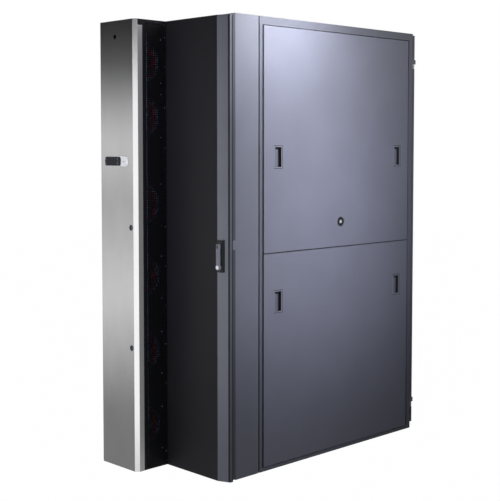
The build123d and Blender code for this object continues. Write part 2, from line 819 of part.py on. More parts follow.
# Closing panel: a shallow pan beside the fan wall
strip_inner_x = half - strip_width
with BuildPart() as closing_panel:
    with BuildSketch(Plane.XY.offset(door_bottom)):
        with Locations(((grille_x + strip_inner_x) / 2, panel_y + sheet / 2)):
            Rectangle(strip_inner_x - grille_x, sheet)
        with Locations((grille_x + sheet / 2, (panel_y + back_wall_y) / 2)):
            Rectangle(sheet, back_wall_y - panel_y)
    extrude(amount=door_height)
    for level in (door_bottom, door_top - sheet):
        with BuildSketch(Plane.XY.offset(level)):
            with Locations(((grille_x + strip_inner_x) / 2, (panel_y + leaf_y) / 2)):
                Rectangle(strip_inner_x - grille_x, leaf_y - panel_y)
        extrude(amount=sheet)
closing_panel.part.label = "closing_panel"
export_step(closing_panel.part, "parts/closing_panel.step")

# Latch strip: a hollow wedge that slopes from the panel back to the leaf's edge
slope_length = sqrt(strip_width**2 + panel_projection**2)
wall_x = sheet * slope_length / panel_projection
wall_y = sheet * slope_length / strip_width
with BuildPart() as latch_strip:
    with BuildSketch(Plane.XY.offset(door_bottom)):
        with BuildLine():
            Polyline((half, leaf_y), (strip_inner_x, panel_y), (strip_inner_x, leaf_y), close=True)
        make_face()
    extrude(amount=door_height)
    with BuildSketch(Plane.XY.offset(door_bottom + sheet)):
        with BuildLine():
            Polyline(
                (half - wall_x, leaf_y),
                (strip_inner_x + sheet, panel_y + wall_y + sheet * panel_projection / strip_width),
                (strip_inner_x + sheet, leaf_y),
                close=True,
            )
        make_face()
    extrude(amount=door_height - 2 * sheet, mode=Mode.SUBTRACT)
    with BuildSketch(rear_plane(leaf_y)):
        with Locations((handle_x, cabinet_bottom + handle_height)):
            Rectangle(escutcheon_width + 2 * seat_gap, escutcheon_length + 2 * seat_gap)
    extrude(amount=panel_projection, mode=Mode.SUBTRACT)
latch_strip.part.label = "latch_strip"
export_step(latch_strip.part, "parts/latch_strip.step")

# Steel service cover: folded face with bevel and return, hung on three pins
bevel_x = cover_right - cover_bevel
lock_x = bevel_x - cover_lock_inset
cover_outline = (
    (-half, cover_edge_y),
    (-half, cover_y),
    (bevel_x, cover_y),
    (cover_right, cover_y + cover_bevel),
    (cover_right, cover_y + cover_bevel + cover_flange),
)
bevel_inset = sheet * (sqrt(2) - 1)
cover_inner_outline = (
    (cover_right - sheet, cover_y + cover_bevel + cover_flange),
    (cover_right - sheet, cover_y + cover_bevel + bevel_inset),
    (bevel_x - bevel_inset, cover_inner_y),
    (-half + sheet, cover_inner_y),
    (-half + sheet, cover_edge_y),
)
lock_zs = [cabinet_bottom + height for height in cover_lock_heights]
display_x = -half + display_centre_x
display_z = cabinet_bottom + display_height
with BuildPart() as service_cover:
    with BuildSketch(Plane.XY.offset(door_bottom)):
        with BuildLine():
            Polyline(*cover_outline, *cover_inner_outline, close=True)
        make_face()
    extrude(amount=door_height)
    for level in (door_bottom, door_top - sheet):
        with BuildSketch(Plane.XY.offset(level)):
            with Locations(((bevel_x - half) / 2, (cover_y + cover_edge_y) / 2)):
                Rectangle(bevel_x + half - sheet, cover_edge)
        extrude(amount=sheet)
    with BuildSketch(side_plane(cover_right - 2 * sheet)):
        with Locations((cover_y + cover_bevel + cover_flange / 2, door_top - cover_flange_drop / 2)):
            Rectangle(cover_flange, cover_flange_drop)
    extrude(amount=2 * sheet, mode=Mode.SUBTRACT)
    for joint_z in cover_hinge_zs:
        with BuildSketch(Plane.XY.offset(joint_z - cover_hinge_length - 2 * plate)):
            with Locations((-half + sheet / 2, cover_edge_y - cover_edge / 2 + sheet)):
                Rectangle(sheet, cover_edge)
        extrude(amount=2 * cover_hinge_length + 4 * plate, mode=Mode.SUBTRACT)
        with BuildSketch(Plane.XY.offset(joint_z + seat_gap)):
            with Locations((cover_hinge_x, (cover_hinge_y + cover_inner_y + cover_knuckle) / 2)):
                Rectangle(2 * cover_knuckle, cover_hinge_y + cover_knuckle - cover_inner_y)
            with Locations((cover_hinge_x, cover_hinge_y)):
                Circle(cover_pin_radius + running_gap, mode=Mode.SUBTRACT)
        extrude(amount=cover_hinge_length - seat_gap)
    with BuildSketch(rear_plane(cover_inner_y)):
        with Locations(*[(lock_x, z) for z in lock_zs]):
            Circle(cover_lock_radius + running_gap)
        with Locations((display_x, display_z)):
            Rectangle(unit_length - 2 * plate, unit_height - 2 * plate)
        with Locations((-half + cover_hole_x, door_top - cover_hole_drop)):
            Circle(cover_hole_radius)
    extrude(amount=sheet, mode=Mode.SUBTRACT)
service_cover.part.label = "service_cover"
export_step(service_cover.part, "parts/service_cover.step")

# Quarter-turn locks of the cover: each cam turns behind the grille's lip
lock_cam_y = grille_front_y + sheet + plate / 2
lock_cam_z = (cover_cam_length - cover_lock_shank) / 2
for z, level in zip(lock_zs, ("lower", "upper")):
    with BuildPart() as cover_lock:
        with BuildSketch(rear_plane(cover_y)):
            with Locations((lock_x, z)):
                Circle(cover_lock_radius)
        extrude(amount=-(cover_edge - plate))
        with BuildSketch(rear_plane(cover_y + cover_edge - plate)):
            with Locations((lock_x, z)):
                Rectangle(cover_lock_shank, cover_lock_shank)
        extrude(amount=-(lock_cam_y + plate - cover_y - cover_edge + plate))
        with BuildSketch(rear_plane(lock_cam_y)):
            with Locations((lock_x, z + lock_cam_z)):
                Rectangle(cover_lock_shank, cover_cam_length)
        extrude(amount=-plate)
        with BuildSketch(rear_plane(cover_y)):
            with Locations((lock_x, z)):
                Circle(cover_lock_radius - plate)
        extrude(amount=-plate * 2, mode=Mode.SUBTRACT)
        with BuildSketch(rear_plane(cover_y + 2 * plate)):
            with Locations((lock_x, z)):
                RegularPolygon(cover_lock_radius / 2, 3)
        extrude(amount=plate)
    cover_lock.part.label = f"cover_lock_{level}"
    export_step(cover_lock.part, f"parts/cover_lock_{level}.step")

# Display: pale bezel, dark unit, screen and four push buttons
unit_x = display_x - (bezel_length - unit_length) / 2 + plate
bezel_y = cover_y - bezel_thickness
unit_y = bezel_y - unit_thickness + bezel_thickness
button_spots = [
    (unit_x + across * button_spread, display_z + up * button_rise)
    for across in (-1, 1)
    for up in (-1, 1)
]
with BuildPart() as display_bezel:
    with BuildSketch(rear_plane(cover_y)):
        with Locations((display_x, display_z)):
            RectangleRounded(bezel_length, bezel_height, bezel_height * 0.4)
        with Locations((unit_x, display_z)):
            RectangleRounded(
                unit_length + 2 * seat_gap,
                unit_height + 2 * seat_gap,
                unit_height * 0.35,
                mode=Mode.SUBTRACT,
            )
    extrude(amount=bezel_thickness)
display_bezel.part.label = "display_bezel"
export_step(display_bezel.part, "parts/display_bezel.step")

with BuildPart() as display_unit:
    with BuildSketch(rear_plane(cover_y)):
        with Locations((unit_x, display_z)):
            RectangleRounded(unit_length, unit_height, unit_height * 0.35)
    extrude(amount=unit_thickness)
    outer_face = display_unit.faces().sort_by(Axis.Y)[0]
    chamfer(outer_face.edges(), plate / 2)
    with BuildSketch(rear_plane(cover_y - unit_thickness)):
        with Locations((unit_x, display_z)):
            Rectangle(screen_length, screen_height)
    extrude(amount=-plate, mode=Mode.SUBTRACT)
    with BuildSketch(rear_plane(cover_y - unit_thickness)):
        with Locations(*button_spots):
            Rectangle(button_size + 2 * running_gap, button_size + 2 * running_gap)
    extrude(amount=-(button_length + seat_gap), mode=Mode.SUBTRACT)
display_unit.part.label = "display_unit"
export_step(display_unit.part, "parts/display_unit.step")

with BuildPart() as display_screen:
    with BuildSketch(rear_plane(cover_y - unit_thickness + plate)):
        with Locations((unit_x, display_z)):
            Rectangle(screen_length, screen_height)
    extrude(amount=plate - seat_gap)
display_screen.part.label = "display_screen"
export_step(display_screen.part, "parts/display_screen.step")

for number, (x, z) in enumerate(button_spots, 1):
    with BuildPart() as display_button:
        with BuildSketch(rear_plane(cover_y - unit_thickness - button_proud)):
            with Locations((x, z)):
                Rectangle(button_size, button_size)
        extrude(amount=-button_length)
        cap = display_button.faces().sort_by(Axis.Y)[0]
        chamfer(cap.edges(), button_proud / 3)
    display_button.part.label = f"display_button_{number}"
    export_step(display_button.part, f"parts/display_button_{number}.step")

# Swing handle: escutcheon, spindle with its cam, grip and key cylinder
handle_z = cabinet_bottom + handle_height
escutcheon_y = panel_y - escutcheon_proud
grip_back_y = escutcheon_y - grip_gap
grip_mid_y = grip_back_y - grip_thickness / 2
lock_z = handle_z - lock_drop
with BuildPart() as handle_escutcheon:
    with BuildSketch(rear_plane(leaf_y)):
        with Locations((handle_x, handle_z)):
            RectangleRounded(escutcheon_width, escutcheon_length, plate)
    extrude(amount=leaf_y - escutcheon_y)
    with BuildSketch(rear_plane(leaf_y)):
        with Locations((handle_x, spindle_z)):
            Circle(spindle_radius + running_gap)
    extrude(amount=leaf_y - escutcheon_y, mode=Mode.SUBTRACT)
handle_escutcheon.part.label = "handle_escutcheon"
export_step(handle_escutcheon.part, "parts/handle_escutcheon.step")

lug_radius = grip_thickness / 2 - plate / 2
with BuildPart() as handle_spindle:
    with BuildSketch(rear_plane(cam_y0 + cam_thickness)):
        with Locations((handle_x, spindle_z)):
            Circle(spindle_radius)
    extrude(amount=cam_y0 + cam_thickness - escutcheon_y + grip_gap / 2)
    with BuildSketch(rear_plane(cam_y0)):
        with Locations((handle_x, spindle_z - cam_length / 2 + spindle_radius / 2)):
            RectangleRounded(2 * spindle_radius, cam_length + spindle_radius, spindle_radius / 2)
    extrude(amount=-cam_thickness)
    with BuildSketch(side_plane(handle_x - lug_width / 2)):
        with Locations((grip_mid_y, spindle_z)):
            Circle(lug_radius)
        with Locations(((grip_mid_y + escutcheon_y) / 2, spindle_z)):
            Rectangle(escutcheon_y - grip_mid_y, 2 * lug_radius)
        with Locations((grip_mid_y, spindle_z)):
            Circle(lug_pin_radius + running_gap, mode=Mode.SUBTRACT)
    extrude(amount=lug_width)
handle_spindle.part.label = "handle_spindle"
export_step(handle_spindle.part, "parts/handle_spindle.step")

with BuildPart() as handle_grip:
    with BuildSketch(side_plane(handle_x - grip_width / 2)):
        with Locations((grip_mid_y, spindle_z)):
            Circle(grip_thickness / 2)
        with Locations((grip_mid_y, (spindle_z + lock_z) / 2)):
            Rectangle(grip_thickness, spindle_z - lock_z)
    extrude(amount=grip_width)
    with BuildSketch(rear_plane(grip_back_y)):
        with Locations((handle_x, lock_z)):
            Circle(lock_radius + 2 * plate)
    extrude(amount=grip_thickness)
    with BuildSketch(rear_plane(grip_back_y)):
        with Locations((handle_x, lock_z)):
            Circle(lock_radius + running_gap)
    extrude(amount=grip_thickness, mode=Mode.SUBTRACT)
    with BuildSketch(rear_plane(grip_back_y)):
        with Locations((handle_x, spindle_z - plate)):
            Rectangle(lug_width + 2 * seat_gap, 2 * (grip_thickness + plate))
    extrude(amount=grip_thickness, mode=Mode.SUBTRACT)
    with BuildSketch(side_plane(handle_x - grip_width / 2)):
        with Locations((grip_mid_y, spindle_z)):
            Circle(lug_pin_radius)
    extrude(amount=grip_width)
handle_grip.part.label = "handle_grip"
export_step(handle_grip.part, "parts/handle_grip.step")

with BuildPart() as grip_lock:
    with BuildSketch(rear_plane(grip_back_y)):
        with Locations((handle_x, lock_z)):
            Circle(lock_radius)
    extrude(amount=grip_thickness + grip_gap)
    with BuildSketch(rear_plane(grip_back_y - grip_thickness - grip_gap)):
        with Locations((handle_x, lock_z)):
            Rectangle(plate, lock_radius)
    extrude(amount=-lock_radius / 2, mode=Mode.SUBTRACT)
grip_lock.part.label = "grip_lock"
export_step(grip_lock.part, "parts/grip_lock.step")

# Coil: casing, slotted fin pack, headers, bends and drip tray
casing_left = leaf_left
casing_right = leaf_right - 2.5 * plate
casing_low = leaf_low + 2.5 * plate
casing_high = leaf_high - 2.5 * plate
casing_mid_x = (casing_left + casing_right) / 2
casing_mid_z = (casing_low + casing_high) / 2
casing_width = casing_right - casing_left
casing_height = casing_high - casing_low
with BuildPart() as coil_casing:
    with BuildSketch(rear_plane(leaf_back)):
        with Locations((casing_mid_x, casing_mid_z)):
            Rectangle(casing_width, casing_height)
            Rectangle(casing_width - 2 * coil_wall, casing_height - 2 * coil_wall, mode=Mode.SUBTRACT)
    extrude(amount=-coil_depth)
coil_casing.part.label = "coil_casing"
export_step(coil_casing.part, "parts/coil_casing.step")

fins_left = casing_left + coil_end_room
fins_right = casing_right - coil_wall - bend_room
fins_low = casing_low + coil_wall + tray_height + seat_gap
fins_high = casing_high - coil_wall - seat_gap
fins_mid_x = (fins_left + fins_right) / 2
fins_mid_z = (fins_low + fins_high) / 2
slot_count = int((fins_right - fins_left - fin_pitch) // fin_pitch)
with BuildPart() as coil_fin_pack:
    with BuildSketch(rear_plane(leaf_back)):
        with Locations((fins_mid_x, fins_mid_z)):
            Rectangle(fins_right - fins_left, fins_high - fins_low)
    extrude(amount=-coil_depth)
    for face_y, depth in ((leaf_back, -fin_slot_depth), (leaf_back + coil_depth, fin_slot_depth)):
        with BuildSketch(rear_plane(face_y)):
            with Locations((fins_mid_x, fins_mid_z)):
                with GridLocations(fin_pitch, 1, slot_count, 1):
                    Rectangle(fin_slot, fins_high - fins_low)
        extrude(amount=depth, mode=Mode.SUBTRACT)
coil_fin_pack.part.label = "coil_fin_pack"
export_step(coil_fin_pack.part, "parts/coil_fin_pack.step")

supply_y = leaf_back + supply_layer
return_y = leaf_back + return_layer
header_top = fins_high - 40.0
row_pitch = (header_top - supply_run_height - cabinet_bottom - 80.0) / (tube_rows - 1)
stub_zs = [header_top - 20.0 - row_pitch * row for row in range(tube_rows)]


def header(x, y, run_z, leg_y):
    """A riser that turns out through the leaf and down to its coupling."""
    with BuildPart() as pipe:
        with BuildLine() as route:
            Polyline(
                (x, y, header_top),
                (x, y, run_z),
                (x, leg_y, run_z),
                (x, leg_y, cabinet_bottom + leg_bottom),
            )
        with BuildSketch(Plane(origin=(x, y, header_top), z_dir=(0, 0, -1))):
            RegularPolygon(pipe_radius, pipe_sides)
        sweep(path=route.wire(), transition=Transition.RIGHT)
        for stub_z in stub_zs:
            with BuildSketch(side_plane(x, y, stub_z)):
                RegularPolygon(tube_radius, tube_sides)
            extrude(amount=fins_left - x)
    return pipe.part


with BuildPart() as supply_header:
    add(header(supply_x, supply_y, cabinet_bottom + supply_run_height, supply_leg_y))
supply_header.part.label = "supply_header"
export_step(supply_header.part, "parts/supply_header.step")

with BuildPart() as return_header:
    add(header(return_x, return_y, cabinet_bottom + return_run_height, return_leg_y))
return_header.part.label = "return_header"
export_step(return_header.part, "parts/return_header.step")

coupling_top = cabinet_bottom + leg_bottom
with BuildPart() as water_couplings:
    with BuildSketch(Plane.XY.offset(coupling_top)):
        with Locations((supply_x, supply_leg_y), (return_x, return_leg_y)):
            RegularPolygon(union_radius, 6)
    extrude(amount=-union_length)
    with BuildSketch(Plane.XY.offset(coupling_top - union_length)):
        with Locations((supply_x, supply_leg_y), (return_x, return_leg_y)):
            Circle(thread_radius)
    extrude(amount=-thread_length)
    with BuildSketch(Plane.XY.offset(coupling_top - union_length - thread_length)):
        with Locations((supply_x, supply_leg_y), (return_x, return_leg_y)):
            Circle(pipe_radius - pipe_wall)
    extrude(amount=thread_length, mode=Mode.SUBTRACT)
water_couplings.part.label = "water_couplings"
export_step(water_couplings.part, "parts/water_couplings.step")

bend_x = fins_right + bend_reach
bend_corner = bend_reach / 2
with BuildPart() as return_bends:
    for stub_z in stub_zs:
        with BuildLine() as bend_route:
            Polyline(
                (fins_right, supply_y, stub_z),
                (bend_x - bend_corner, supply_y, stub_z),
                (bend_x, supply_y + bend_corner, stub_z),
                (bend_x, return_y - bend_corner, stub_z),
                (bend_x - bend_corner, return_y, stub_z),
                (fins_right, return_y, stub_z),
            )
        with BuildSketch(side_plane(fins_right, supply_y, stub_z)):
            RegularPolygon(tube_radius, tube_sides)
        sweep(path=bend_route.wire(), transition=Transition.RIGHT)
return_bends.part.label = "return_bends"
export_step(return_bends.part, "parts/return_bends.step")

tray_x0 = casing_left + coil_wall + seat_gap
tray_x1 = casing_right - coil_wall - seat_gap
with BuildPart() as drip_tray:
    with BuildSketch(Plane.XY.offset(casing_low + coil_wall)):
        with Locations(((tray_x0 + tray_x1) / 2, leaf_back + coil_depth / 2)):
            Rectangle(tray_x1 - tray_x0, coil_depth)
    extrude(amount=tray_height)
    offset(amount=-sheet, openings=drip_tray.faces().sort_by(Axis.Z)[-1])
drip_tray.part.label = "drip_tray"
export_step(drip_tray.part, "parts/drip_tray.step")

# Control box on the inside of the hinge-side wall, with its lid and cable glands
box_mid_x = -half + plate + control_depth / 2
box_mid_y = housing_y + control_inset + control_width / 2
box_bottom = cabinet_bottom + control_height
with BuildPart() as control_box:
    with BuildSketch(Plane.XY.offset(box_bottom)):
        with Locations((box_mid_x, box_mid_y)):
            Rectangle(control_depth, control_width)
    extrude(amount=control_length)
    with BuildSketch(Plane.XY.offset(box_bottom + plate)):
        with Locations((box_mid_x + control_depth / 2, box_mid_y)):
            Rectangle(2 * sheet, control_width + 2 * sheet)
    extrude(amount=control_length - 2 * plate)
    with BuildSketch(Plane.XY.offset(box_bottom)):
        with Locations((box_mid_x, box_mid_y)):
            with GridLocations(1, control_width / 3, 1, 3):
                RegularPolygon(pipe_radius / 2, 6)
    extrude(amount=-pipe_radius)
control_box.part.label = "control_box"
export_step(control_box.part, "parts/control_box.step")

# Front door of the cabinet: a vented pan on two hinges, with its lever handle
front_bottom = cabinet_bottom + front_door_low
front_bevel = front_door_depth - front_door_edge
front_axis_x = half - front_knuckle
front_axis_y = front_door_back + front_knuckle
front_mid_z = (front_bottom + door_top) / 2
front_handle_z = cabinet_bottom + front_handle_height
vent_columns = int((width - 2 * front_bevel - 2 * front_door_rail) // vent_pitch_x)
vent_rows = int((door_top - front_bottom - front_door_rail) // vent_pitch_z)
with BuildPart() as front_hinge_brackets:
    for joint_z in front_hinge_zs:
        with BuildSketch(Plane.XY.offset(joint_z - front_hinge_length)):
            with Locations((front_axis_x, front_axis_y)):
                Circle(front_knuckle)
            with Locations((front_axis_x, (front_axis_y + cabinet_y1) / 2)):
                Rectangle(2 * front_knuckle, front_axis_y - cabinet_y1)
        extrude(amount=front_hinge_length)
        with BuildSketch(Plane.XY.offset(joint_z)):
            with Locations((front_axis_x, front_axis_y)):
                Circle(hinge_pin_radius)
        extrude(amount=front_hinge_length - plate)
front_hinge_brackets.part.label = "front_hinge_brackets"
export_step(front_hinge_brackets.part, "parts/front_hinge_brackets.step")

with BuildPart() as front_door:
    with BuildSketch(Plane.XY.offset(front_bottom)):
        with BuildLine():
            Polyline(
                (-half, front_door_back),
                (-half, front_door_back + front_door_edge),
                (-half + front_bevel, front_door_face),
                (half - front_bevel, front_door_face),
                (half, front_door_back + front_door_edge),
                (half, front_door_back),
                close=True,
            )
        make_face()
    extrude(amount=door_top - front_bottom)
    offset(amount=-sheet, openings=front_door.faces().sort_by(Axis.Y)[0])
    with BuildSketch(rear_plane(front_door_face)):
        with Locations((0, front_mid_z)):
            with GridLocations(vent_pitch_x, vent_pitch_z, vent_columns, vent_rows):
                Rectangle(vent_width, vent_height)
        with Locations((-front_handle_x, front_handle_z)):
            Circle(spindle_radius + running_gap)
    extrude(amount=sheet, mode=Mode.SUBTRACT)
    for joint_z in front_hinge_zs:
        with BuildSketch(Plane.XY.offset(joint_z - front_hinge_length - plate)):
            with Locations((half, front_door_back)):
                Rectangle(2 * front_bevel, 4 * front_door_edge)
        extrude(amount=2 * front_hinge_length + 2 * plate, mode=Mode.SUBTRACT)
        with BuildSketch(Plane.XY.offset(joint_z + seat_gap)):
            with Locations((front_axis_x, front_axis_y)):
                Circle(front_knuckle)
            with Locations((front_axis_x - front_knuckle, (front_axis_y + front_door_face) / 2)):
                Rectangle(2 * front_knuckle, front_door_face - front_axis_y)
            with Locations((front_axis_x, front_axis_y)):
                Circle(hinge_pin_radius + running_gap, mode=Mode.SUBTRACT)
        extrude(amount=front_hinge_length - seat_gap)
front_door.part.label = "front_door"
export_step(front_door.part, "parts/front_door.step")

with BuildPart() as front_door_handle:
    with BuildSketch(rear_plane(front_door_face)):
        with Locations((-front_handle_x, front_handle_z)):
            Circle(front_grip_width * 0.75)
    extrude(amount=-front_rosette)
    with BuildSketch(rear_plane(front_door_face + front_rosette)):
        with Locations((-front_handle_x, front_handle_z - front_grip_length / 2 + front_grip_width / 2)):
            SlotOverall(front_grip_length, front_grip_width, rotation=90)
    extrude(amount=-front_grip_thickness)
    with BuildSketch(rear_plane(front_door_face)):
        with Locations((-front_handle_x, front_handle_z)):
            Circle(spindle_radius)
    extrude(amount=front_door_edge)
    with BuildSketch(rear_plane(front_door_face - front_door_edge)):
        with Locations((-front_handle_x, front_handle_z - front_cam_length / 2 + spindle_radius)):
            Rectangle(2 * spindle_radius, front_cam_length)
    extrude(amount=cam_thickness)
front_door_handle.part.label = "front_door_handle"
export_step(front_door_handle.part, "parts/front_door_handle.step")
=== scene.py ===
"""Dresses the rear door heat exchanger: materials, perforated fan wall, small fittings, light and camera.

Everything is in metres in the model's own frame: -Y is the rear with the cooling door, +X its latch side.
"""

import json
import math

import bmesh
import bpy
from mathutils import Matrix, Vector


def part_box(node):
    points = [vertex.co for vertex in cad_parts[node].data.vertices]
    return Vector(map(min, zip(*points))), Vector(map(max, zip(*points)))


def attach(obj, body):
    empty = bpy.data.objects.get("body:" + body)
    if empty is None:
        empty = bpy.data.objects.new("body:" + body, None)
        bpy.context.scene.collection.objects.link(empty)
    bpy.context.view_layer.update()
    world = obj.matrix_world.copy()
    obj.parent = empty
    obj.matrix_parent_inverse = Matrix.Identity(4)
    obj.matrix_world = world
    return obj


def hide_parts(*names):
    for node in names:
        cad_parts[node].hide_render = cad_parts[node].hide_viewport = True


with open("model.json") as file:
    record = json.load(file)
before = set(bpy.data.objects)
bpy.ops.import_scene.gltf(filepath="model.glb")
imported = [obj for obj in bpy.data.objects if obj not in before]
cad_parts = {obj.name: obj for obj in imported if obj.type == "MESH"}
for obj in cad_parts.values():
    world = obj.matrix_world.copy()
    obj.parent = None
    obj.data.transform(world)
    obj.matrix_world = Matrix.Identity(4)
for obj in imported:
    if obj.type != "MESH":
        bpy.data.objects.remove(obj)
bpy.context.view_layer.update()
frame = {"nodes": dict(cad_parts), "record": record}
nodes = frame["nodes"]
MM = 0.001

# Places taken from the model
leaf_low, leaf_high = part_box("leaf_frame")
cover_low, cover_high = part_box("service_cover")
panel_low, panel_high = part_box("closing_panel")
grille_low, grille_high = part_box("fan_grille")
leaf_y = panel_high.y
cabinet_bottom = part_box("transition_frame")[0].z


def linear(hex_colour):
    """An sRGB hex colour as linear RGBA."""
    parts = [int(hex_colour[i : i + 2], 16) / 255 for i in (1, 3, 5)]
    return [p / 12.92 if p <= 0.04045 else ((p + 0.055) / 1.055) ** 2.4 for p in parts] + [1.0]


def add_node(tree, kind, settings=None, inputs=None):
    """Adds one node, with attributes from settings and values or links from inputs."""
    node = tree.nodes.new(kind)
    for name, value in (settings or {}).items():
        setattr(node, name, value)
    for name, value in (inputs or {}).items():
        if isinstance(value, bpy.types.NodeSocket):
            tree.links.new(value, node.inputs[name])
        else:
            node.inputs[name].default_value = value
    return node


def new_material(name, colour, roughness, metallic=0.0, **sockets):
    """A material with one Principled shader, its uniform values set on its own sockets."""
    material = bpy.data.materials.new(name)
    material.use_nodes = True
    shader = material.node_tree.nodes["Principled BSDF"]
    shader.inputs["Base Color"].default_value = linear(colour)
    shader.inputs["Roughness"].default_value = roughness
    shader.inputs["Metallic"].default_value = metallic
    for socket, value in sockets.items():
        shader.inputs[socket.replace("_", " ")].default_value = value
    return material, material.node_tree, shader


def object_position(tree, scale=(1.0, 1.0, 1.0)):
    """The point on the object in metres, stretched by scale."""
    position = add_node(tree, "ShaderNodeTexCoord")
    mapping = add_node(tree, "ShaderNodeMapping", None, {"Vector": position.outputs["Object"]})
    mapping.inputs["Scale"].default_value = scale
    return mapping.outputs["Vector"]


def colour_between(tree, factor, first, second):
    """A colour that a factor from 0 to 1 takes from the first hex colour to the second."""
    mix = add_node(tree, "ShaderNodeMix", {"data_type": "RGBA"}, {"Factor": factor})
    mix.inputs[6].default_value = linear(first)
    mix.inputs[7].default_value = linear(second)
    return mix.outputs[2]


def tint(tree, shader, factor, first, second):
    """Colours the shader between two hex colours."""
    tree.links.new(colour_between(tree, factor, first, second), shader.inputs["Base Color"])


def noise(tree, vector, grain_mm, detail):
    """A noise with grains of a size in millimetres."""
    inputs = {"Vector": vector, "Scale": 1 / (grain_mm * MM), "Detail": detail}
    return add_node(tree, "ShaderNodeTexNoise", None, inputs)


def value_between(tree, factor, low, high):
    """A number that a factor from 0 to 1 takes from low to high."""
    ranged = add_node(tree, "ShaderNodeMapRange", None, {"Value": factor, "To Min": low, "To Max": high})
    return ranged.outputs["Result"]


def bump_from(tree, shader, height, strength, distance):
    """Feeds a height into the shader's normal."""
    bump = add_node(
        tree, "ShaderNodeBump", None, {"Height": height, "Strength": strength, "Distance": distance}
    )
    tree.links.new(bump.outputs["Normal"], shader.inputs["Normal"])


def powder_coat(name, colour, lighter, roughness, grit_mm=1.6, texture=0.12, specular=0.5):
    """Baked polyester powder on steel: a fine orange peel breaks up the sheen, with faint clouding."""
    material, tree, shader = new_material(name, colour, roughness, Specular_IOR_Level=specular)
    position = object_position(tree)
    peel = noise(tree, position, grit_mm, 2.0)
    cloud = noise(tree, position, 180, 3.0)
    tint(tree, shader, cloud.outputs["Fac"], colour, lighter)
    rough = value_between(tree, peel.outputs["Fac"], roughness - 0.05, roughness + 0.07)
    tree.links.new(rough, shader.inputs["Roughness"])
    bump_from(tree, shader, peel.outputs["Fac"], texture, 0.2 * MM)
    return material


def brushed_stainless(name, colour, lighter, roughness):
    """Stainless sheet with a vertical belt-ground grain: long fine lines and slow soft bands."""
    material, tree, shader = new_material(name, colour, roughness, metallic=1.0, Anisotropic=0.45)
    line_mm = 1.4
    lines = add_node(
        tree,
        "ShaderNodeTexNoise",
        None,
        {
            "Vector": object_position(tree, (1.0, 1.0, 0.012)),
            "Scale": 1 / (line_mm * MM),
            "Detail": 4.0,
            "Roughness": 0.65,
        },
    )
    bands = add_node(
        tree,
        "ShaderNodeTexNoise",
        None,
        {"Vector": object_position(tree, (1.0, 1.0, 0.5)), "Scale": 1 / (90 * MM), "Detail": 2.0},
    )
    both = add_node(
        tree,
        "ShaderNodeMath",
        {"operation": "MULTIPLY_ADD"},
        {0: lines.outputs["Fac"], 1: 0.6, 2: value_between(tree, bands.outputs["Fac"], 0.0, 0.4)},
    )
    tint(tree, shader, both.outputs[0], colour, lighter)
    tree.links.new(
        value_between(tree, lines.outputs["Fac"], roughness - 0.05, roughness + 0.08),
        shader.inputs["Roughness"],
    )
    bump_from(tree, shader, lines.outputs["Fac"], 0.05, 0.1 * MM)
    return material


def moulded_plastic(name, colour, lighter, roughness, grain_mm=0.9, texture=0.08):
    """Injection moulded ABS: a fine spark-eroded grain, slightly lighter where it is rubbed."""
    material, tree, shader = new_material(name, colour, roughness, IOR=1.46)
    grain = noise(tree, object_position(tree), grain_mm, 3.0)
    tint(tree, shader, grain.outputs["Fac"], colour, lighter)
    bump_from(tree, shader, grain.outputs["Fac"], texture, 0.1 * MM)
    return material


def plated_metal(name, colour, lighter, roughness, grain_mm=6.0):
    """Zinc or nickel plate on metal: a cool shine with small patches of differing tone."""
    material, tree, shader = new_material(name, colour, roughness, metallic=1.0)
    patches = add_node(
        tree, "ShaderNodeTexVoronoi", None, {"Vector": object_position(tree), "Scale": 1 / (grain_mm * MM)}
    )
    tint(tree, shader, patches.outputs["Color"], colour, lighter)
    rough = value_between(tree, patches.outputs["Distance"], roughness, roughness + 0.12)
    tree.links.new(rough, shader.inputs["Roughness"])
    return material


def finned_aluminium(name):
    """Thin rolled aluminium fins, 2.4 mm apart: fine upright lines of light and shade."""
    material, tree, shader = new_material(name, "#b9bcc0", 0.38, metallic=1.0)
    fins = add_node(
        tree,
        "ShaderNodeTexWave",
        {"wave_type": "BANDS", "bands_direction": "X"},
        {"Vector": object_position(tree), "Scale": 1 / (2.4 * MM) / 20, "Distortion": 0.3},
    )
    tint(tree, shader, fins.outputs["Fac"], "#73767a", "#c9ccd0")
    bump_from(tree, shader, fins.outputs["Fac"], 0.5, 1.0 * MM)
    return material


def drawn_copper(name):
    """Drawn copper tube: warm metal, dulled and darkened in clouds by handling."""
    material, tree, shader = new_material(name, "#b8734f", 0.3, metallic=1.0)
    cloud = noise(tree, object_position(tree), 25, 4.0)
    tint(tree, shader, cloud.outputs["Fac"], "#8d5236", "#c98a63")
    tree.links.new(value_between(tree, cloud.outputs["Fac"], 0.22, 0.45), shader.inputs["Roughness"])
    return material


def turned_brass(name):
    """Lathe-turned brass: yellow metal with fine rings round its axis."""
    material, tree, shader = new_material(name, "#b59a5b", 0.28, metallic=1.0)
    rings = add_node(
        tree,
        "ShaderNodeTexWave",
        {"wave_type": "BANDS", "bands_direction": "Z"},
        {"Vector": object_position(tree), "Scale": 1 / (1.8 * MM) / 20, "Distortion": 0.2},
    )
    tint(tree, shader, rings.outputs["Fac"], "#8f7840", "#c4aa6a")
    bump_from(tree, shader, rings.outputs["Fac"], 0.35, 0.5 * MM)
    return material


def foam_rubber(name):
    """Closed-cell foam strip: matt, with pinprick cells."""
    material, tree, shader = new_material(name, "#151517", 0.85, IOR=1.5)
    cells = add_node(
        tree, "ShaderNodeTexVoronoi", None, {"Vector": object_position(tree), "Scale": 1 / (1.2 * MM)}
    )
    tint(tree, shader, cells.outputs["Distance"], "#0e0e10", "#202023")
    bump_from(tree, shader, cells.outputs["Distance"], 0.4, 0.3 * MM)
    return material


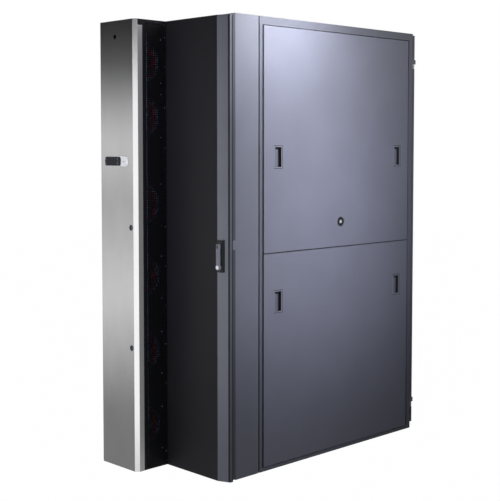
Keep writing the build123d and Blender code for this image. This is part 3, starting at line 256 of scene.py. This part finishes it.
def liquid_crystal(name):
    """A switched-off liquid crystal panel under a clear window: deep green, softly uneven, glossy."""
    material, tree, shader = new_material(name, "#10241f", 0.4, Specular_IOR_Level=0.2)
    cloud = noise(tree, object_position(tree), 20, 2.0)
    tint(tree, shader, cloud.outputs["Fac"], "#0f2a27", "#1c403b")
    return material


finish = {
    "cabinet_powder_coat": powder_coat("cabinet powder coat", "#4b4d56", "#54565f", 0.42),
    # The side panels wear the same black paint as the cabinet; their lighter grey is painted light, standing in for
    # the strong light on that side.
    "side_panel_powder_coat": powder_coat("side panel powder coat lightened as painted light", "#5b5d68", "#646672", 0.42),
    "door_powder_coat": powder_coat("door powder coat", "#54565f", "#5d5f6a", 0.42),
    "black_powder_coat": powder_coat("black powder coat", "#121216", "#17171b", 0.5, specular=0.25),
    "brushed_cover": brushed_stainless("brushed stainless steel", "#b9b9ba", "#d2d2d2", 0.2),
    "zinc_plated": plated_metal("zinc plated steel", "#8f9398", "#b4b8bd", 0.32),
    "lock_zinc": plated_metal("nickel plated die casting", "#5d6065", "#777a80", 0.3, 3.0),
    "latch_plastic": moulded_plastic("black moulded nylon", "#121214", "#1d1d20", 0.42),
    "grip_plastic": moulded_plastic("grey moulded nylon", "#5c5e68", "#6d6f7b", 0.38),
    "gasket": foam_rubber("foam rubber strip"),
    # The fan rings are black; the blue grey of their mouths is a painted highlight, the lit crescent inside each
    # ring.
    "fan_ring": moulded_plastic("black fan ring painted blue grey as highlight", "#3f5475", "#587196", 0.3),
    "fan_motor": moulded_plastic("black moulded fan motor", "#0e0e10", "#18181b", 0.45),
    "impeller": moulded_plastic("red moulded impeller band", "#e0161e", "#fb2a32", 0.35),
    "fins": finned_aluminium("rolled aluminium fins"),
    "copper": drawn_copper("drawn copper tube"),
    "fitting_brass": turned_brass("turned brass"),
    "box_plastic": moulded_plastic("light grey moulded ABS", "#a2a5a8", "#b0b3b6", 0.5),
    "display_bezel": moulded_plastic("pale moulded ABS bezel", "#d8d9dd", "#e6e7ea", 0.35, 1.2, 0.04),
    "display_housing": moulded_plastic("black moulded ABS housing", "#07070c", "#0d0e15", 0.5, 1.2, 0.04),
    "screen": liquid_crystal("dark liquid crystal window"),
    "buttons": moulded_plastic("blue grey silicone buttons", "#565c86", "#666c98", 0.45),
}
for entry in frame["record"]["subparts"]:
    node = nodes[entry["node"]]
    node.data.materials.clear()
    node.data.materials.append(finish[entry["material_slot"]])
nodes["latch_bezels"].data.materials[0] = moulded_plastic(
    "grey moulded latch frame", "#62646f", "#6e707c", 0.45
)
nodes["grip_lock"].data.materials[0] = plated_metal("polished lock cylinder", "#e4e5ea", "#f4f4f6", 0.2, 3.0)
# Black foam for the leaf's edge trim, and painted shade in the latch recesses, round the latch frames and in the
# split between the side panels.
black_foam_and_painted_shade = foam_rubber("black foam strip and painted shade")
nodes["leaf_frame"].data.materials[0] = powder_coat("leaf powder coat", "#40424b", "#494b55", 0.42)
wall_coat = powder_coat("fan wall powder coat", "#08080c", "#0c0c11", 0.5, specular=0.15)
ground_edge = brushed_stainless("ground stainless steel return", "#9a9a9c", "#b0b0b2", 0.55)
# A darker copy of the cabinet's powder coat: painted shade on the transition frame's rolled edge.
painted_shade_edge_coat = powder_coat("rolled edge powder coat darkened as painted shade", "#36373e", "#3d3e46", 0.5, specular=0.3)
# A darker copy of the powder coat: painted shade for the groove at the latch strip's foot.
painted_groove_shade_coat = powder_coat("powder coat darkened as painted groove shade", "#24252b", "#2a2b31", 0.6, specular=0.1)
# Near-white metal on the lock cylinders: painted highlight for the bright spot on each lock.
satin_lock_painted_highlight = plated_metal("satin lock face whitened as painted highlight", "#f2f3f6", "#ffffff", 0.5, 3.0)
slider_grey = moulded_plastic("grey moulded latch slider", "#4e505a", "#5a5c67", 0.45)
for level in ("upper", "lower"):
    for word in ("right", "left"):
        nodes[f"panel_latches_{level}_{word}"].data.materials[0] = slider_grey
red_lens = moulded_plastic("red lamp lens", "#d93a4c", "#ee5b69", 0.25)
pale_print = moulded_plastic("pale printed mark", "#8288a8", "#9299b8", 0.4)
edge_steel = powder_coat("blue grey edge steel", "#5b6790", "#7c8ab4", 0.35)


def piece_from(mesh_builder, name, material, body):
    """Makes one piece from a bmesh and lets it ride on a body."""
    mesh = bpy.data.meshes.new(name)
    mesh_builder.to_mesh(mesh)
    mesh_builder.free()
    piece = bpy.data.objects.new(name, mesh)
    bpy.context.scene.collection.objects.link(piece)
    mesh.materials.append(material)
    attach(piece, body)
    return piece


# Perforated fan wall: one sheet with round holes in straight rows
hole_pitch = 10.0 * MM
hole_radius = 3.8 * MM
plain_front = 40.0 * MM
plain_back = 12.0 * MM
wall_sheet = 1.5 * MM


def ring_of_points(build, x, centre_y, centre_z, radius, sides=8):
    """Points of a regular outline in the YZ plane, the first at half a step."""
    turn = 2 * math.pi / sides
    angles = [turn * (k + 0.5) for k in range(sides)]
    return [
        build.verts.new((x, centre_y + radius * math.cos(a), centre_z + radius * math.sin(a))) for a in angles
    ]


def perforated_wall():
    """The fan wall with its plain edges, its return flange and its holes."""
    build = bmesh.new()
    x = grille_high.x
    y0 = grille_low.y + plain_front
    columns = int((grille_high.y - plain_back - y0) / hole_pitch)
    rows = int((grille_high.z - grille_low.z - 14 * MM) / hole_pitch)
    z0 = (grille_low.z + grille_high.z - rows * hole_pitch) / 2
    corner = {}
    for i in range(columns + 1):
        for j in range(rows + 1):
            corner[i, j] = build.verts.new((x, y0 + i * hole_pitch, z0 + j * hole_pitch))
    for i in range(columns):
        for j in range(rows):
            ring = ring_of_points(
                build, x, y0 + (i + 0.5) * hole_pitch, z0 + (j + 0.5) * hole_pitch, hole_radius
            )
            square = [corner[i + 1, j + 1], corner[i, j + 1], corner[i, j], corner[i + 1, j]]
            for k in range(4):
                here, after = square[k], square[(k + 1) % 4]
                build.faces.new((ring[2 * k], here, ring[2 * k + 1]))
                build.faces.new((ring[2 * k + 1], here, after, ring[(2 * k + 2) % 8]))
    y1 = y0 + columns * hole_pitch
    z1 = z0 + rows * hole_pitch
    low, high = grille_low, grille_high
    for a, b, c, d in (
        (low.y, y0, low.z, high.z),
        (y1, high.y, low.z, high.z),
        (y0, y1, low.z, z0),
        (y0, y1, z1, high.z),
    ):
        build.faces.new([build.verts.new((x, p, q)) for p, q in ((a, c), (b, c), (b, d), (a, d))])
    flange = ((low.x, low.y, low.z), (x, low.y, low.z), (x, low.y, high.z), (low.x, low.y, high.z))
    build.faces.new([build.verts.new(point) for point in flange])
    bmesh.ops.remove_doubles(build, verts=build.verts, dist=0.01 * MM)
    bmesh.ops.recalc_face_normals(build, faces=build.faces)
    wall = piece_from(build, "perforated_fan_wall", wall_coat, "cooling_door")
    thick = wall.modifiers.new("sheet", "SOLIDIFY")
    thick.thickness = wall_sheet
    thick.offset = -1.0
    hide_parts("fan_grille")
    return wall


perforated_wall()


def pan_head_screw(name, place, outward, radius, material, body):
    """A domed screw head with a cross recess, seated on a flat face."""
    build = bmesh.new()
    bmesh.ops.create_uvsphere(build, u_segments=16, v_segments=8, radius=radius)
    for vert in build.verts:
        vert.co.z = max(vert.co.z, 0.0) * 0.55
    for vert in build.verts:
        across = min(abs(vert.co.x), abs(vert.co.y))
        if vert.co.z > radius * 0.4 and across < radius * 0.12:
            vert.co.z -= radius * 0.2
    turn = Vector((0, 0, 1)).rotation_difference(Vector(outward)).to_matrix().to_4x4()
    turn.translation = Vector(place)
    bmesh.ops.transform(build, matrix=turn, verts=build.verts)
    for face in build.faces:
        face.smooth = True
    return piece_from(build, name, material, body)


screw_metal = plated_metal("blued steel screw", "#8c93a3", "#a9b1c2", 0.3, 2.0)
bright_screw_radius = 3.2 * MM
dim_screw_radius = 2.2 * MM
bright_screw_heights = (1908, 1717, 1666, 1476, 1271, 1084, 947, 759, 607, 420, 267, 77)
dim_screw_heights = (1972, 1920, 1790, 1610, 1432, 1254, 1078, 901, 724, 548, 371, 194, 59, 15)
for number, height in enumerate(bright_screw_heights):
    spot = (grille_high.x, leaf_y - 54 * MM, cabinet_bottom + height * MM)
    pan_head_screw(
        f"fan_screw_{number}", spot, (1, 0, 0), bright_screw_radius, screw_metal, "cooling_door"
    )
for number, height in enumerate(dim_screw_heights):
    spot = (grille_high.x, leaf_y - 30 * MM, cabinet_bottom + height * MM)
    pan_head_screw(
        f"wall_screw_{number}", spot, (1, 0, 0), dim_screw_radius, screw_metal, "cooling_door"
    )

# Fans: smooth bell-mouths and impellers in place of the flat-sided ones
fan_numbers = range(1, 7)
rings_low, rings_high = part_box("fan_rings")


def turned_round(build, profile, axis_y, axis_z, segments=56):
    """Adds the surface that a closed outline of (x, radius) points sweeps about an axis along X."""
    loops = []
    for k in range(segments):
        angle = 2 * math.pi * k / segments
        loops.append(
            [
                build.verts.new((x, axis_y + r * math.cos(angle), axis_z + r * math.sin(angle))) for x, r in profile
            ]
        )
    for k in range(segments):
        here, after = loops[k], loops[(k + 1) % segments]
        for i in range(len(profile)):
            j = (i + 1) % len(profile)
            build.faces.new((here[i], here[j], after[j], after[i])).smooth = True


def finished(build, name, material, body, node):
    """One turned or swept piece that stands for a node."""
    bmesh.ops.recalc_face_normals(build, faces=build.faces)
    piece = piece_from(build, name, material, body)
    piece.modifiers.new("crease", "EDGE_SPLIT").split_angle = math.radians(32)
    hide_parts(node)
    return piece


def bell_mouths():
    """The six rings: a black flange on the fan plate, and a mouth and sleeve inside it, painted blue grey as a
    highlight on a ring that is black.
    """
    front, back = rings_high.x, rings_low.x
    radius = (rings_high.y - rings_low.y) / 2
    bore = radius - 5.6 * MM
    flange = (
        (front, radius),
        (front, radius - 2.2 * MM),
        (front - 2.0 * MM, radius - 2.2 * MM),
        (front - 2.0 * MM, radius),
    )
    mouth = (
        (front - 0.3 * MM, radius - 2.2 * MM),
        (front - 0.6 * MM, radius - 3.8 * MM),
        (front - 2.0 * MM, radius - 5.0 * MM),
        (front - 5.0 * MM, bore),
        (back, bore),
        (back, bore + 1.1 * MM),
        (front - 3.0 * MM, bore + 1.1 * MM),
        (front - 2.0 * MM, radius - 2.2 * MM),
    )
    for name, profile, material in (
        ("fan_ring_flanges", flange, finish["fan_motor"]),
        ("fan_bell_mouths", mouth, finish["fan_ring"]),
    ):
        build = bmesh.new()
        for number in fan_numbers:
            low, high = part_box(f"fan_impeller_{number}")
            turned_round(build, profile, (low.y + high.y) / 2, (low.z + high.z) / 2)
        finished(build, name, material, "cooling_door", "fan_rings")


def impeller_band(number):
    """The red band that joins the blade tips of one impeller."""
    low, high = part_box(f"fan_impeller_{number}")
    radius = (high.y - low.y) / 2
    lip = 1.2 * MM
    wall = 2.6 * MM
    profile = (
        (high.x, radius - lip),
        (high.x - lip, radius),
        (low.x, radius),
        (low.x, radius - wall),
        (high.x - lip, radius - wall),
    )
    build = bmesh.new()
    turned_round(build, profile, (low.y + high.y) / 2, (low.z + high.z) / 2)
    body = f"fan_impeller_{number}"
    return finished(build, f"impeller_band_{number}", finish["impeller"], body, body)


def impeller_blades(number):
    """The domed hub and seven swept, cambered blades of one impeller."""
    low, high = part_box(f"fan_impeller_{number}")
    axis_y, axis_z = (low.y + high.y) / 2, (low.z + high.z) / 2
    root, tip = 32 * MM, (high.y - low.y) / 2 - 2.0 * MM
    depth = high.x - low.x
    build = bmesh.new()
    hub = (
        (low.x, 0.5 * MM),
        (high.x, 0.5 * MM),
        (high.x - 0.6 * MM, 22 * MM),
        (high.x - 3.5 * MM, 32 * MM),
        (high.x - 8.0 * MM, 34 * MM),
        (low.x, 34 * MM),
    )
    turned_round(build, hub, axis_y, axis_z, 40)
    across, along, blades = 6, 7, 7
    for blade in range(blades):
        grid = []
        for i in range(across + 1):
            share = i / across
            radius = root + (tip - root) * share
            line = []
            for j in range(along + 1):
                chord = j / along - 0.5
                sweep = 0.42 * share * share
                angle = 2 * math.pi * blade / blades + sweep + chord * (0.78 - 0.1 * share)
                x = (low.x + high.x) / 2 + chord * depth * (0.9 - 0.18 * share) + 0.05 * depth * math.cos(
                    chord * 3
                )
                line.append(
                    build.verts.new((x, axis_y + radius * math.cos(angle), axis_z + radius * math.sin(angle)))
                )
            grid.append(line)
        for i in range(across):
            for j in range(along):
                face = build.faces.new((grid[i][j], grid[i + 1][j], grid[i + 1][j + 1], grid[i][j + 1]))
                face.smooth = True
    body = f"fan_impeller_{number}"
    return finished(build, f"impeller_blades_{number}", finish["fan_motor"], body, body)


bell_mouths()
for number in fan_numbers:
    impeller_band(number)
    impeller_blades(number)


def bevelled_block(name, low, high, bevel, material, body, segments=2):
    """A small block with rounded edges, given by its two corners."""
    build = bmesh.new()
    bmesh.ops.create_cube(build, size=1.0)
    low, high = Vector(low), Vector(high)
    for vert in build.verts:
        vert.co = Vector([(low[i] + high[i]) / 2 + vert.co[i] * (high[i] - low[i]) for i in range(3)])
    bmesh.ops.bevel(
        build, geom=list(build.edges), offset=bevel, segments=segments, affect="EDGES", profile=0.5
    )
    return piece_from(build, name, material, body)


# Blue grey steel edge angle behind the first row of holes, seen as a column of light dots
edge_angle_width = 9.0 * MM
edge_y = grille_low.y + plain_front - 1.0 * MM
bevelled_block(
    "fan_wall_edge_angle",
    (grille_high.x - 3.4 * MM, edge_y, grille_low.z + 30 * MM),
    (grille_high.x - 2.2 * MM, edge_y + edge_angle_width, grille_high.z - 60 * MM),
    0.3 * MM,
    edge_steel,
    "cooling_door",
)

# Display: marks on the black unit and the small red lamp on the pale plate
unit_low, unit_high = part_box("display_unit")
screen_low, screen_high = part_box("display_screen")
bezel_low, bezel_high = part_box("display_bezel")


def printed_mark(name, x, z, wide, high, body="service_cover", face=None, material=None):
    """A thin raised mark on a face that looks to the rear."""
    face = unit_low.y if face is None else face
    return bevelled_block(
        name,
        (x - wide / 2, face - 0.15 * MM, z - high / 2),
        (x + wide / 2, face + 0.3 * MM, z + high / 2),
        0.12 * MM,
        material or pale_print,
        body,
        1,
    )


def display_shell():
    """The black display unit with its two bowed ends."""
    bow = 5.0 * MM
    right = unit_high.x + 12.0 * MM
    middle_z = (unit_low.z + unit_high.z) / 2
    half_height = (unit_high.z - unit_low.z) / 2 - 0.5 * MM
    steps = 8
    outline = []
    for end_x, side in ((unit_low.x, -1), (right, 1)):
        for k in range(steps + 1):
            share = 2 * k / steps - 1
            outline.append((end_x - side * bow * share * share, middle_z + side * half_height * share))
    build = bmesh.new()
    base = build.faces.new([build.verts.new((x, bezel_low.y, z)) for x, z in outline])
    front = bmesh.ops.extrude_face_region(build, geom=[base])["geom"]
    raised = [part for part in front if isinstance(part, bmesh.types.BMVert)]
    for vert in raised:
        vert.co.y = unit_low.y
    rim = [edge for edge in build.edges if all(vert in raised for vert in edge.verts)]
    bmesh.ops.bevel(build, geom=rim, offset=1.2 * MM, segments=3, affect="EDGES", profile=0.5)
    bmesh.ops.recalc_face_normals(build, faces=build.faces)
    shell = piece_from(build, "display_shell", finish["display_housing"], "service_cover")
    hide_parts("display_unit")
    return right


marks_x = (screen_high.x + display_shell()) / 2
screen_mid_z = (screen_low.z + screen_high.z) / 2
for number, (shift_x, rise) in enumerate(((-3.0, 11.5), (2.5, 1.0), (-2.0, -11.0))):
    printed_mark(
        f"display_mark_{number}", marks_x + shift_x * MM, screen_mid_z + rise * MM, 5.0 * MM, 2.2 * MM
    )
for number, shift_x in enumerate((-9.0, -5.0, -1.0)):
    printed_mark(
        f"display_foot_mark_{number}",
        (unit_low.x + unit_high.x) / 2 + shift_x * MM,
        unit_low.z + 2.6 * MM,
        2.6 * MM,
        1.2 * MM,
    )


def domed_lens(name, x, y, z, radius, material, body):
    """A low round dome on a face that looks to the rear."""
    build = bmesh.new()
    bmesh.ops.create_uvsphere(build, u_segments=24, v_segments=12, radius=radius)
    for vert in build.verts:
        vert.co = Vector((x + vert.co.x, y - max(-vert.co.y, 0.0) * 0.35, z + vert.co.z))
    for face in build.faces:
        face.smooth = True
    return piece_from(build, name, material, body)


lamp_x = unit_high.x + 0.52 * (bezel_high.x - unit_high.x)
domed_lens(
    "display_red_lamp", lamp_x, bezel_low.y, screen_mid_z - 2.0 * MM, 3.2 * MM, red_lens, "service_cover"
)

# Side panels: a satin key cylinder in each lock, whitened as painted highlight; a black block behind the split
# between the panels as painted shade in the gap
for side, body in ((1, "panel_lock_right"), (-1, "panel_lock_left")):
    low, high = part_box(body)
    face_x = high.x if side > 0 else low.x
    middle = Vector((face_x, (low.y + high.y) / 2, high.z - (high.y - low.y) / 2))
    build = bmesh.new()
    barrel = (
        (face_x - side * 2.0 * MM, 0.4 * MM),
        (face_x + side * 0.1 * MM, 0.4 * MM),
        (face_x + side * 0.1 * MM, 7.6 * MM),
        (face_x - side * 0.9 * MM, 8.2 * MM),
        (face_x - side * 2.0 * MM, 8.2 * MM),
    )
    turned_round(build, barrel, middle.y, middle.z, 32)
    bmesh.ops.recalc_face_normals(build, faces=build.faces)
    piece_from(build, f"{body}_cylinder", satin_lock_painted_highlight, body)
for side, word in ((1, "right"), (-1, "left")):
    lower_low, lower_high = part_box(f"lower_side_panel_{word}")
    upper_low, upper_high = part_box(f"upper_side_panel_{word}")
    outer = lower_high.x if side > 0 else lower_low.x
    inner_edge, outer_edge = sorted((outer - side * 9.0 * MM, outer - side * 3.0 * MM))
    # A black block in the split between the upper and lower panel: painted shade in the gap.
    bevelled_block(
        f"panel_split_painted_shade_{word}",
        (inner_edge, lower_low.y + 2 * MM, lower_high.z + 0.4 * MM),
        (outer_edge, lower_high.y - 2 * MM, upper_low.z - 0.4 * MM),
        0.4 * MM,
        black_foam_and_painted_shade,
        "cabinet",
    )

# Latches: black sheets on the floor and walls of each recess as painted shade, and a black outline round each frame
# as painted shadow
latch_recess = Vector((12.0 * MM, 40.0 * MM, 88.0 * MM))
latch_frame = Vector((1.2 * MM, 50.0 * MM, 98.0 * MM))
painted_shade_lining = 0.15 * MM
latch_end_distance = 88.0 * MM
slider_gap = 0.3 * MM


def add_box(build, low, high):
    """Adds one block between two corners to a mesh."""
    corners = bmesh.ops.create_cube(build, size=1.0)["verts"]
    for vert in corners:
        vert.co = Vector([(low[i] + high[i]) / 2 + vert.co[i] * (high[i] - low[i]) for i in range(3)])


def latch_painted_shade(side, word):
    """The black sheets of painted shade in the recesses, and the black outlines of painted shadow round the frames,
    of the four latches on one side of the cabinet.
    """
    panel_low, panel_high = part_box(f"upper_side_panel_{word}")
    face = panel_high.x if side > 0 else panel_low.x
    back, front = face - side * (latch_recess.x - 0.02 * MM), face
    painted_recess_shade, painted_outline_shadow = bmesh.new(), bmesh.new()
    for level in ("upper", "lower"):
        middle_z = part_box(f"panel_latches_{level}_{word}")[0].z + latch_recess.z / 2 - slider_gap
        for middle_y in (panel_low.y + latch_end_distance, panel_high.y - latch_end_distance):
            y0, y1 = middle_y - latch_recess.y / 2, middle_y + latch_recess.y / 2
            z0, z1 = middle_z - latch_recess.z / 2, middle_z + latch_recess.z / 2
            # Black sheets on the recess's floor and walls: painted shade.
            floor_x = sorted((back, back + side * painted_shade_lining))
            deep = sorted((back, front))
            add_box(painted_recess_shade, (floor_x[0], y0, z0), (floor_x[1], y1, z1))
            add_box(painted_recess_shade, (deep[0], y1 - painted_shade_lining, z0), (deep[1], y1, z1))
            add_box(painted_recess_shade, (deep[0], y0, z1 - painted_shade_lining), (deep[1], y1, z1))
            add_box(painted_recess_shade, (deep[0], y0, z0), (deep[1], y1, z0 + painted_shade_lining))
            # Black outline beside, above and below the frame: painted shadow of its rim.
            edge_y, edge_z = middle_y + latch_frame.y / 2, latch_frame.z / 2
            raised = sorted((face, face + side * 0.5 * MM))
            add_box(
                painted_outline_shadow, (raised[0], edge_y, middle_z - edge_z), (raised[1], edge_y + 4.0 * MM, middle_z + edge_z)
            )
            for sign in (-1, 1):
                rim = sorted((middle_z + sign * edge_z, middle_z + sign * (edge_z + 2.6 * MM)))
                add_box(
                    painted_outline_shadow, (raised[0], middle_y - latch_frame.y / 2, rim[0]), (raised[1], edge_y + 4.0 * MM, rim[1])
                )
    piece_from(painted_recess_shade, f"latch_painted_shade_linings_{word}", black_foam_and_painted_shade, "cabinet")
    piece_from(painted_outline_shadow, f"latch_painted_outline_shadow_{word}", black_foam_and_painted_shade, "cabinet")


latch_painted_shade(1, "right")
latch_painted_shade(-1, "left")


def upright_strip(name, outline, low_z, high_z, material, body):
    """A straight upright piece with one outline of (x, y) points."""
    build = bmesh.new()
    base = build.faces.new([build.verts.new((x, y, low_z)) for x, y in outline])
    top = bmesh.ops.extrude_face_region(build, geom=[base])["geom"]
    for part in top:
        if isinstance(part, bmesh.types.BMVert):
            part.co.z = high_z
    bmesh.ops.recalc_face_normals(build, faces=build.faces)
    return piece_from(build, name, material, body)


# Door edge: a dark strip at the latch strip's foot as painted shade in its groove, rubber trim on the leaf's edge
strip_low, strip_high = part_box("latch_strip")
strip_rise = (leaf_y - strip_low.y) / (strip_high.x - strip_low.x)
painted_shade_width = 8.0 * MM
painted_shade_inset = 1.0 * MM
proud = 0.3 * MM
painted_shade_x = strip_high.x - painted_shade_inset
# A flat dark strip a little proud of the latch strip: painted shade standing in for the groove at its foot.
upright_strip(
    "latch_strip_painted_groove_shade",
    (
        (painted_shade_x, leaf_y - painted_shade_inset * strip_rise),
        (painted_shade_x - painted_shade_width, leaf_y - (painted_shade_inset + painted_shade_width) * strip_rise),
        (painted_shade_x - painted_shade_width, leaf_y - (painted_shade_inset + painted_shade_width) * strip_rise - proud),
        (painted_shade_x, leaf_y - painted_shade_inset * strip_rise - proud),
    ),
    strip_low.z + 2 * MM,
    strip_high.z - 2 * MM,
    painted_groove_shade_coat,
    "cooling_door",
)
leaf_thickness = 15.0 * MM
leaf_back = leaf_y + leaf_thickness
bevelled_block(
    "leaf_edge_trim",
    (leaf_high.x - 0.6 * MM, leaf_back - 5.0 * MM, leaf_low.z + 3 * MM),
    (leaf_high.x + 0.2 * MM, leaf_back, leaf_high.z - 3 * MM),
    0.15 * MM,
    black_foam_and_painted_shade,
    "cooling_door",
)

# Steel cover: the ground outer face of its return flange
cover_bevel = 16.0 * MM
cover_return = 26.0 * MM
bevelled_block(
    "cover_return_face",
    (cover_high.x, cover_low.y + cover_bevel + 0.5 * MM, cover_low.z + 1 * MM),
    (cover_high.x + 0.3 * MM, cover_low.y + cover_bevel + cover_return - 0.2 * MM, cover_high.z - 30 * MM),
    0.1 * MM,
    ground_edge,
    "service_cover",
)

# Transition frame: its rolled edge beside the door's gap, darker than the frame's paint as painted shade
transition_low, transition_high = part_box("transition_frame")
rolled_front = leaf_back + 1.5 * MM
bevelled_block(
    "transition_rolled_edge_painted_shade",
    (transition_high.x - 1.8 * MM, rolled_front, transition_low.z + 3 * MM),
    (transition_high.x - 0.4 * MM, leaf_back + 14.8 * MM, transition_high.z - 3 * MM),
    0.3 * MM,
    painted_shade_edge_coat,
    "cabinet",
)

# Studio: floor, reflection cards, lamps and world


def background_rays(tree):
    """1 for rays of the camera, of a reflection or of a transmission, 0 for others."""
    path = add_node(tree, "ShaderNodeLightPath")
    seen = add_node(
        tree, "ShaderNodeMath", {"operation": "MAXIMUM"},
        {0: path.outputs["Is Camera Ray"], 1: path.outputs["Is Glossy Ray"]}
    )
    return add_node(
        tree, "ShaderNodeMath", {"operation": "MAXIMUM"},
        {0: seen.outputs[0], 1: path.outputs["Is Transmission Ray"]}
    ).outputs[0]


def studio_floor():
    """A white floor that keeps the object's shadow."""
    build = bmesh.new()
    bmesh.ops.create_grid(build, x_segments=1, y_segments=1, size=12.0)
    mesh = bpy.data.meshes.new("floor")
    build.to_mesh(mesh)
    build.free()
    floor = bpy.data.objects.new("floor", mesh)
    bpy.context.scene.collection.objects.link(floor)
    material = bpy.data.materials.new("white studio floor")
    material.use_nodes = True
    tree = material.node_tree
    tree.nodes.clear()
    matt = add_node(tree, "ShaderNodeBsdfDiffuse", None, {"Color": linear("#8c8c8c")})
    white = add_node(tree, "ShaderNodeEmission", None, {"Color": linear("#ffffff"), "Strength": 1.0})
    share = add_node(tree, "ShaderNodeMath", {"operation": "MULTIPLY"}, {0: background_rays(tree), 1: 0.996})
    mixed = add_node(
        tree, "ShaderNodeMixShader", None, {0: share.outputs[0], 1: matt.outputs[0], 2: white.outputs[0]}
    )
    add_node(tree, "ShaderNodeOutputMaterial", None, {"Surface": mixed.outputs[0]})
    mesh.materials.append(material)
    floor.visible_glossy = False
    return floor


studio_floor()


def reflection_card(name, place, facing, size, stops):
    """A tall card that only reflections see, with a brightness for each height above the floor."""
    width, height = size
    build = bmesh.new()
    side = Vector((-facing[1], facing[0], 0)).normalized() * (width / 2)
    foot = Vector(place)
    up = Vector((0, 0, height))
    build.faces.new(
        [build.verts.new(point) for point in (foot - side, foot + side, foot + side + up, foot - side + up)]
    )
    mesh = bpy.data.meshes.new(name)
    build.to_mesh(mesh)
    build.free()
    card = bpy.data.objects.new(name, mesh)
    bpy.context.scene.collection.objects.link(card)
    material = bpy.data.materials.new(name)
    material.use_nodes = True
    tree = material.node_tree
    tree.nodes.clear()
    position = add_node(tree, "ShaderNodeTexCoord")
    parts = add_node(tree, "ShaderNodeSeparateXYZ", None, {"Vector": position.outputs["Object"]})
    share = add_node(
        tree,
        "ShaderNodeMapRange",
        None,
        {"Value": parts.outputs["Z"], "From Min": foot.z, "From Max": foot.z + height},
    )
    ramp = add_node(tree, "ShaderNodeValToRGB", None, {"Fac": share.outputs["Result"]})
    elements = ramp.color_ramp.elements
    for number, (level, brightness) in enumerate(stops):
        element = elements[number] if number < len(elements) else elements.new(1.0)
        element.position = (level - foot.z) / height
        element.color = (brightness, brightness, brightness, 1.0)
    glow = add_node(tree, "ShaderNodeEmission", None, {"Color": ramp.outputs["Color"], "Strength": 1.0})
    add_node(tree, "ShaderNodeOutputMaterial", None, {"Surface": glow.outputs[0]})
    mesh.materials.append(material)
    card.visible_camera = False
    card.visible_diffuse = False
    card.visible_shadow = False
    return card


reflection_card(
    "card behind the steel cover",
    (-2.0, -2.3, -1.6),
    (0.80, 0.60),
    (3.6, 5.0),
    ((-1.6, 0.3), (-0.3, 0.3), (0.45, 1.0), (1.1, 0.62), (1.5, 0.95), (1.98, 0.12), (2.3, 0.02), (3.4, 0.02)),
)
reflection_card(
    "card beside the side panels",
    (2.9, 2.9, -1.6),
    (-0.70, -0.70),
    (6.0, 5.0),
    ((-1.6, 0.02), (0.6, 0.05), (2.0, 0.3), (2.6, 1.6), (3.4, 1.6)),
)
reflection_card(
    "card behind the camera",
    (3.75, -5.6, -1.7),
    (-0.62, 0.79),
    (2.4, 5.0),
    ((-1.7, 1.75), (2.28, 1.75), (2.45, 0.1), (3.3, 0.05)),
)
reflection_card(
    "card before the latch strip",
    (-0.4, -4.6, -1.6),
    (0.1, 1.0),
    (3.2, 5.0),
    ((-1.6, 0.5), (0.2, 0.9), (1.2, 0.9), (1.9, 0.1), (3.4, 0.02)),
)


def area_lamp(name, place, target, size, power, colour="#ffffff"):
    """A rectangular softbox aimed at a point."""
    light = bpy.data.lights.new(name, "AREA")
    light.shape = "RECTANGLE"
    light.size, light.size_y = size
    light.energy = power
    light.color = linear(colour)[:3]
    lamp = bpy.data.objects.new(name, light)
    bpy.context.scene.collection.objects.link(lamp)
    lamp.location = place
    lamp.rotation_euler = (Vector(target) - Vector(place)).to_track_quat("-Z", "Y").to_euler()
    lamp.visible_camera = False
    lamp.visible_glossy = False
    return lamp


area_lamp("upper side lamp", (0.7, -0.25, 2.1), (0.32, -0.15, 1.5), (0.5, 0.5), 16, "#fbfbff")
area_lamp("lower side lamp", (1.2, 0.0, 0.8), (0.32, -0.15, 1.5), (0.5, 0.5), 11, "#f1f3ff")
area_lamp("middle side lamp", (0.82, 0.0, 1.38), (0.32, 0.0, 1.38), (0.4, 0.4), 2.6, "#f6f7ff")
area_lamp("rear softbox", (0.2, -3.2, 0.7), (0.2, -0.6, 0.8), (1.2, 1.2), 20, "#f1f3ff")
area_lamp("fan wall strip lamp", (0.25, -1.1, 1.2), (-0.1, -0.65, 1.1), (0.1, 1.8), 6, "#ffffff")

world = bpy.data.worlds.new("studio")
bpy.context.scene.world = world
world.use_nodes = True
tree = world.node_tree
tree.nodes.clear()
seen = add_node(tree, "ShaderNodeBackground", None, {"Color": linear("#ffffff"), "Strength": 1.0})
fill = add_node(tree, "ShaderNodeBackground", None, {"Color": linear("#e9edf7"), "Strength": 0.06})
both = add_node(
    tree, "ShaderNodeMixShader", None, {0: background_rays(tree), 1: fill.outputs[0], 2: seen.outputs[0]}
)
add_node(tree, "ShaderNodeOutputWorld", None, {"Surface": both.outputs[0]})

# Camera: the photograph's place and lens; part of its level view is taken as a small tilt
image_height = 501.0
focal_pixels = 1059.84
horizon_pixels = 145.48
camera_yaw = math.radians(45.777)
camera_tilt = math.radians(3.3)
axis_pixels = horizon_pixels + focal_pixels * math.tan(camera_tilt)
camera_data = bpy.data.cameras.new("camera")
camera_data.sensor_width = 36.0
camera_data.lens = focal_pixels / image_height * 36.0
camera_data.shift_y = -(image_height / 2 - axis_pixels) / image_height
camera = bpy.data.objects.new("camera", camera_data)
bpy.context.scene.collection.objects.link(camera)
camera.location = (3.5879, leaf_y - 3.0637, 1.462)
camera.rotation_euler = (math.pi / 2 - camera_tilt, 0.0, camera_yaw)
bpy.context.scene.camera = camera
bpy.context.scene.view_settings.view_transform = "Standard"
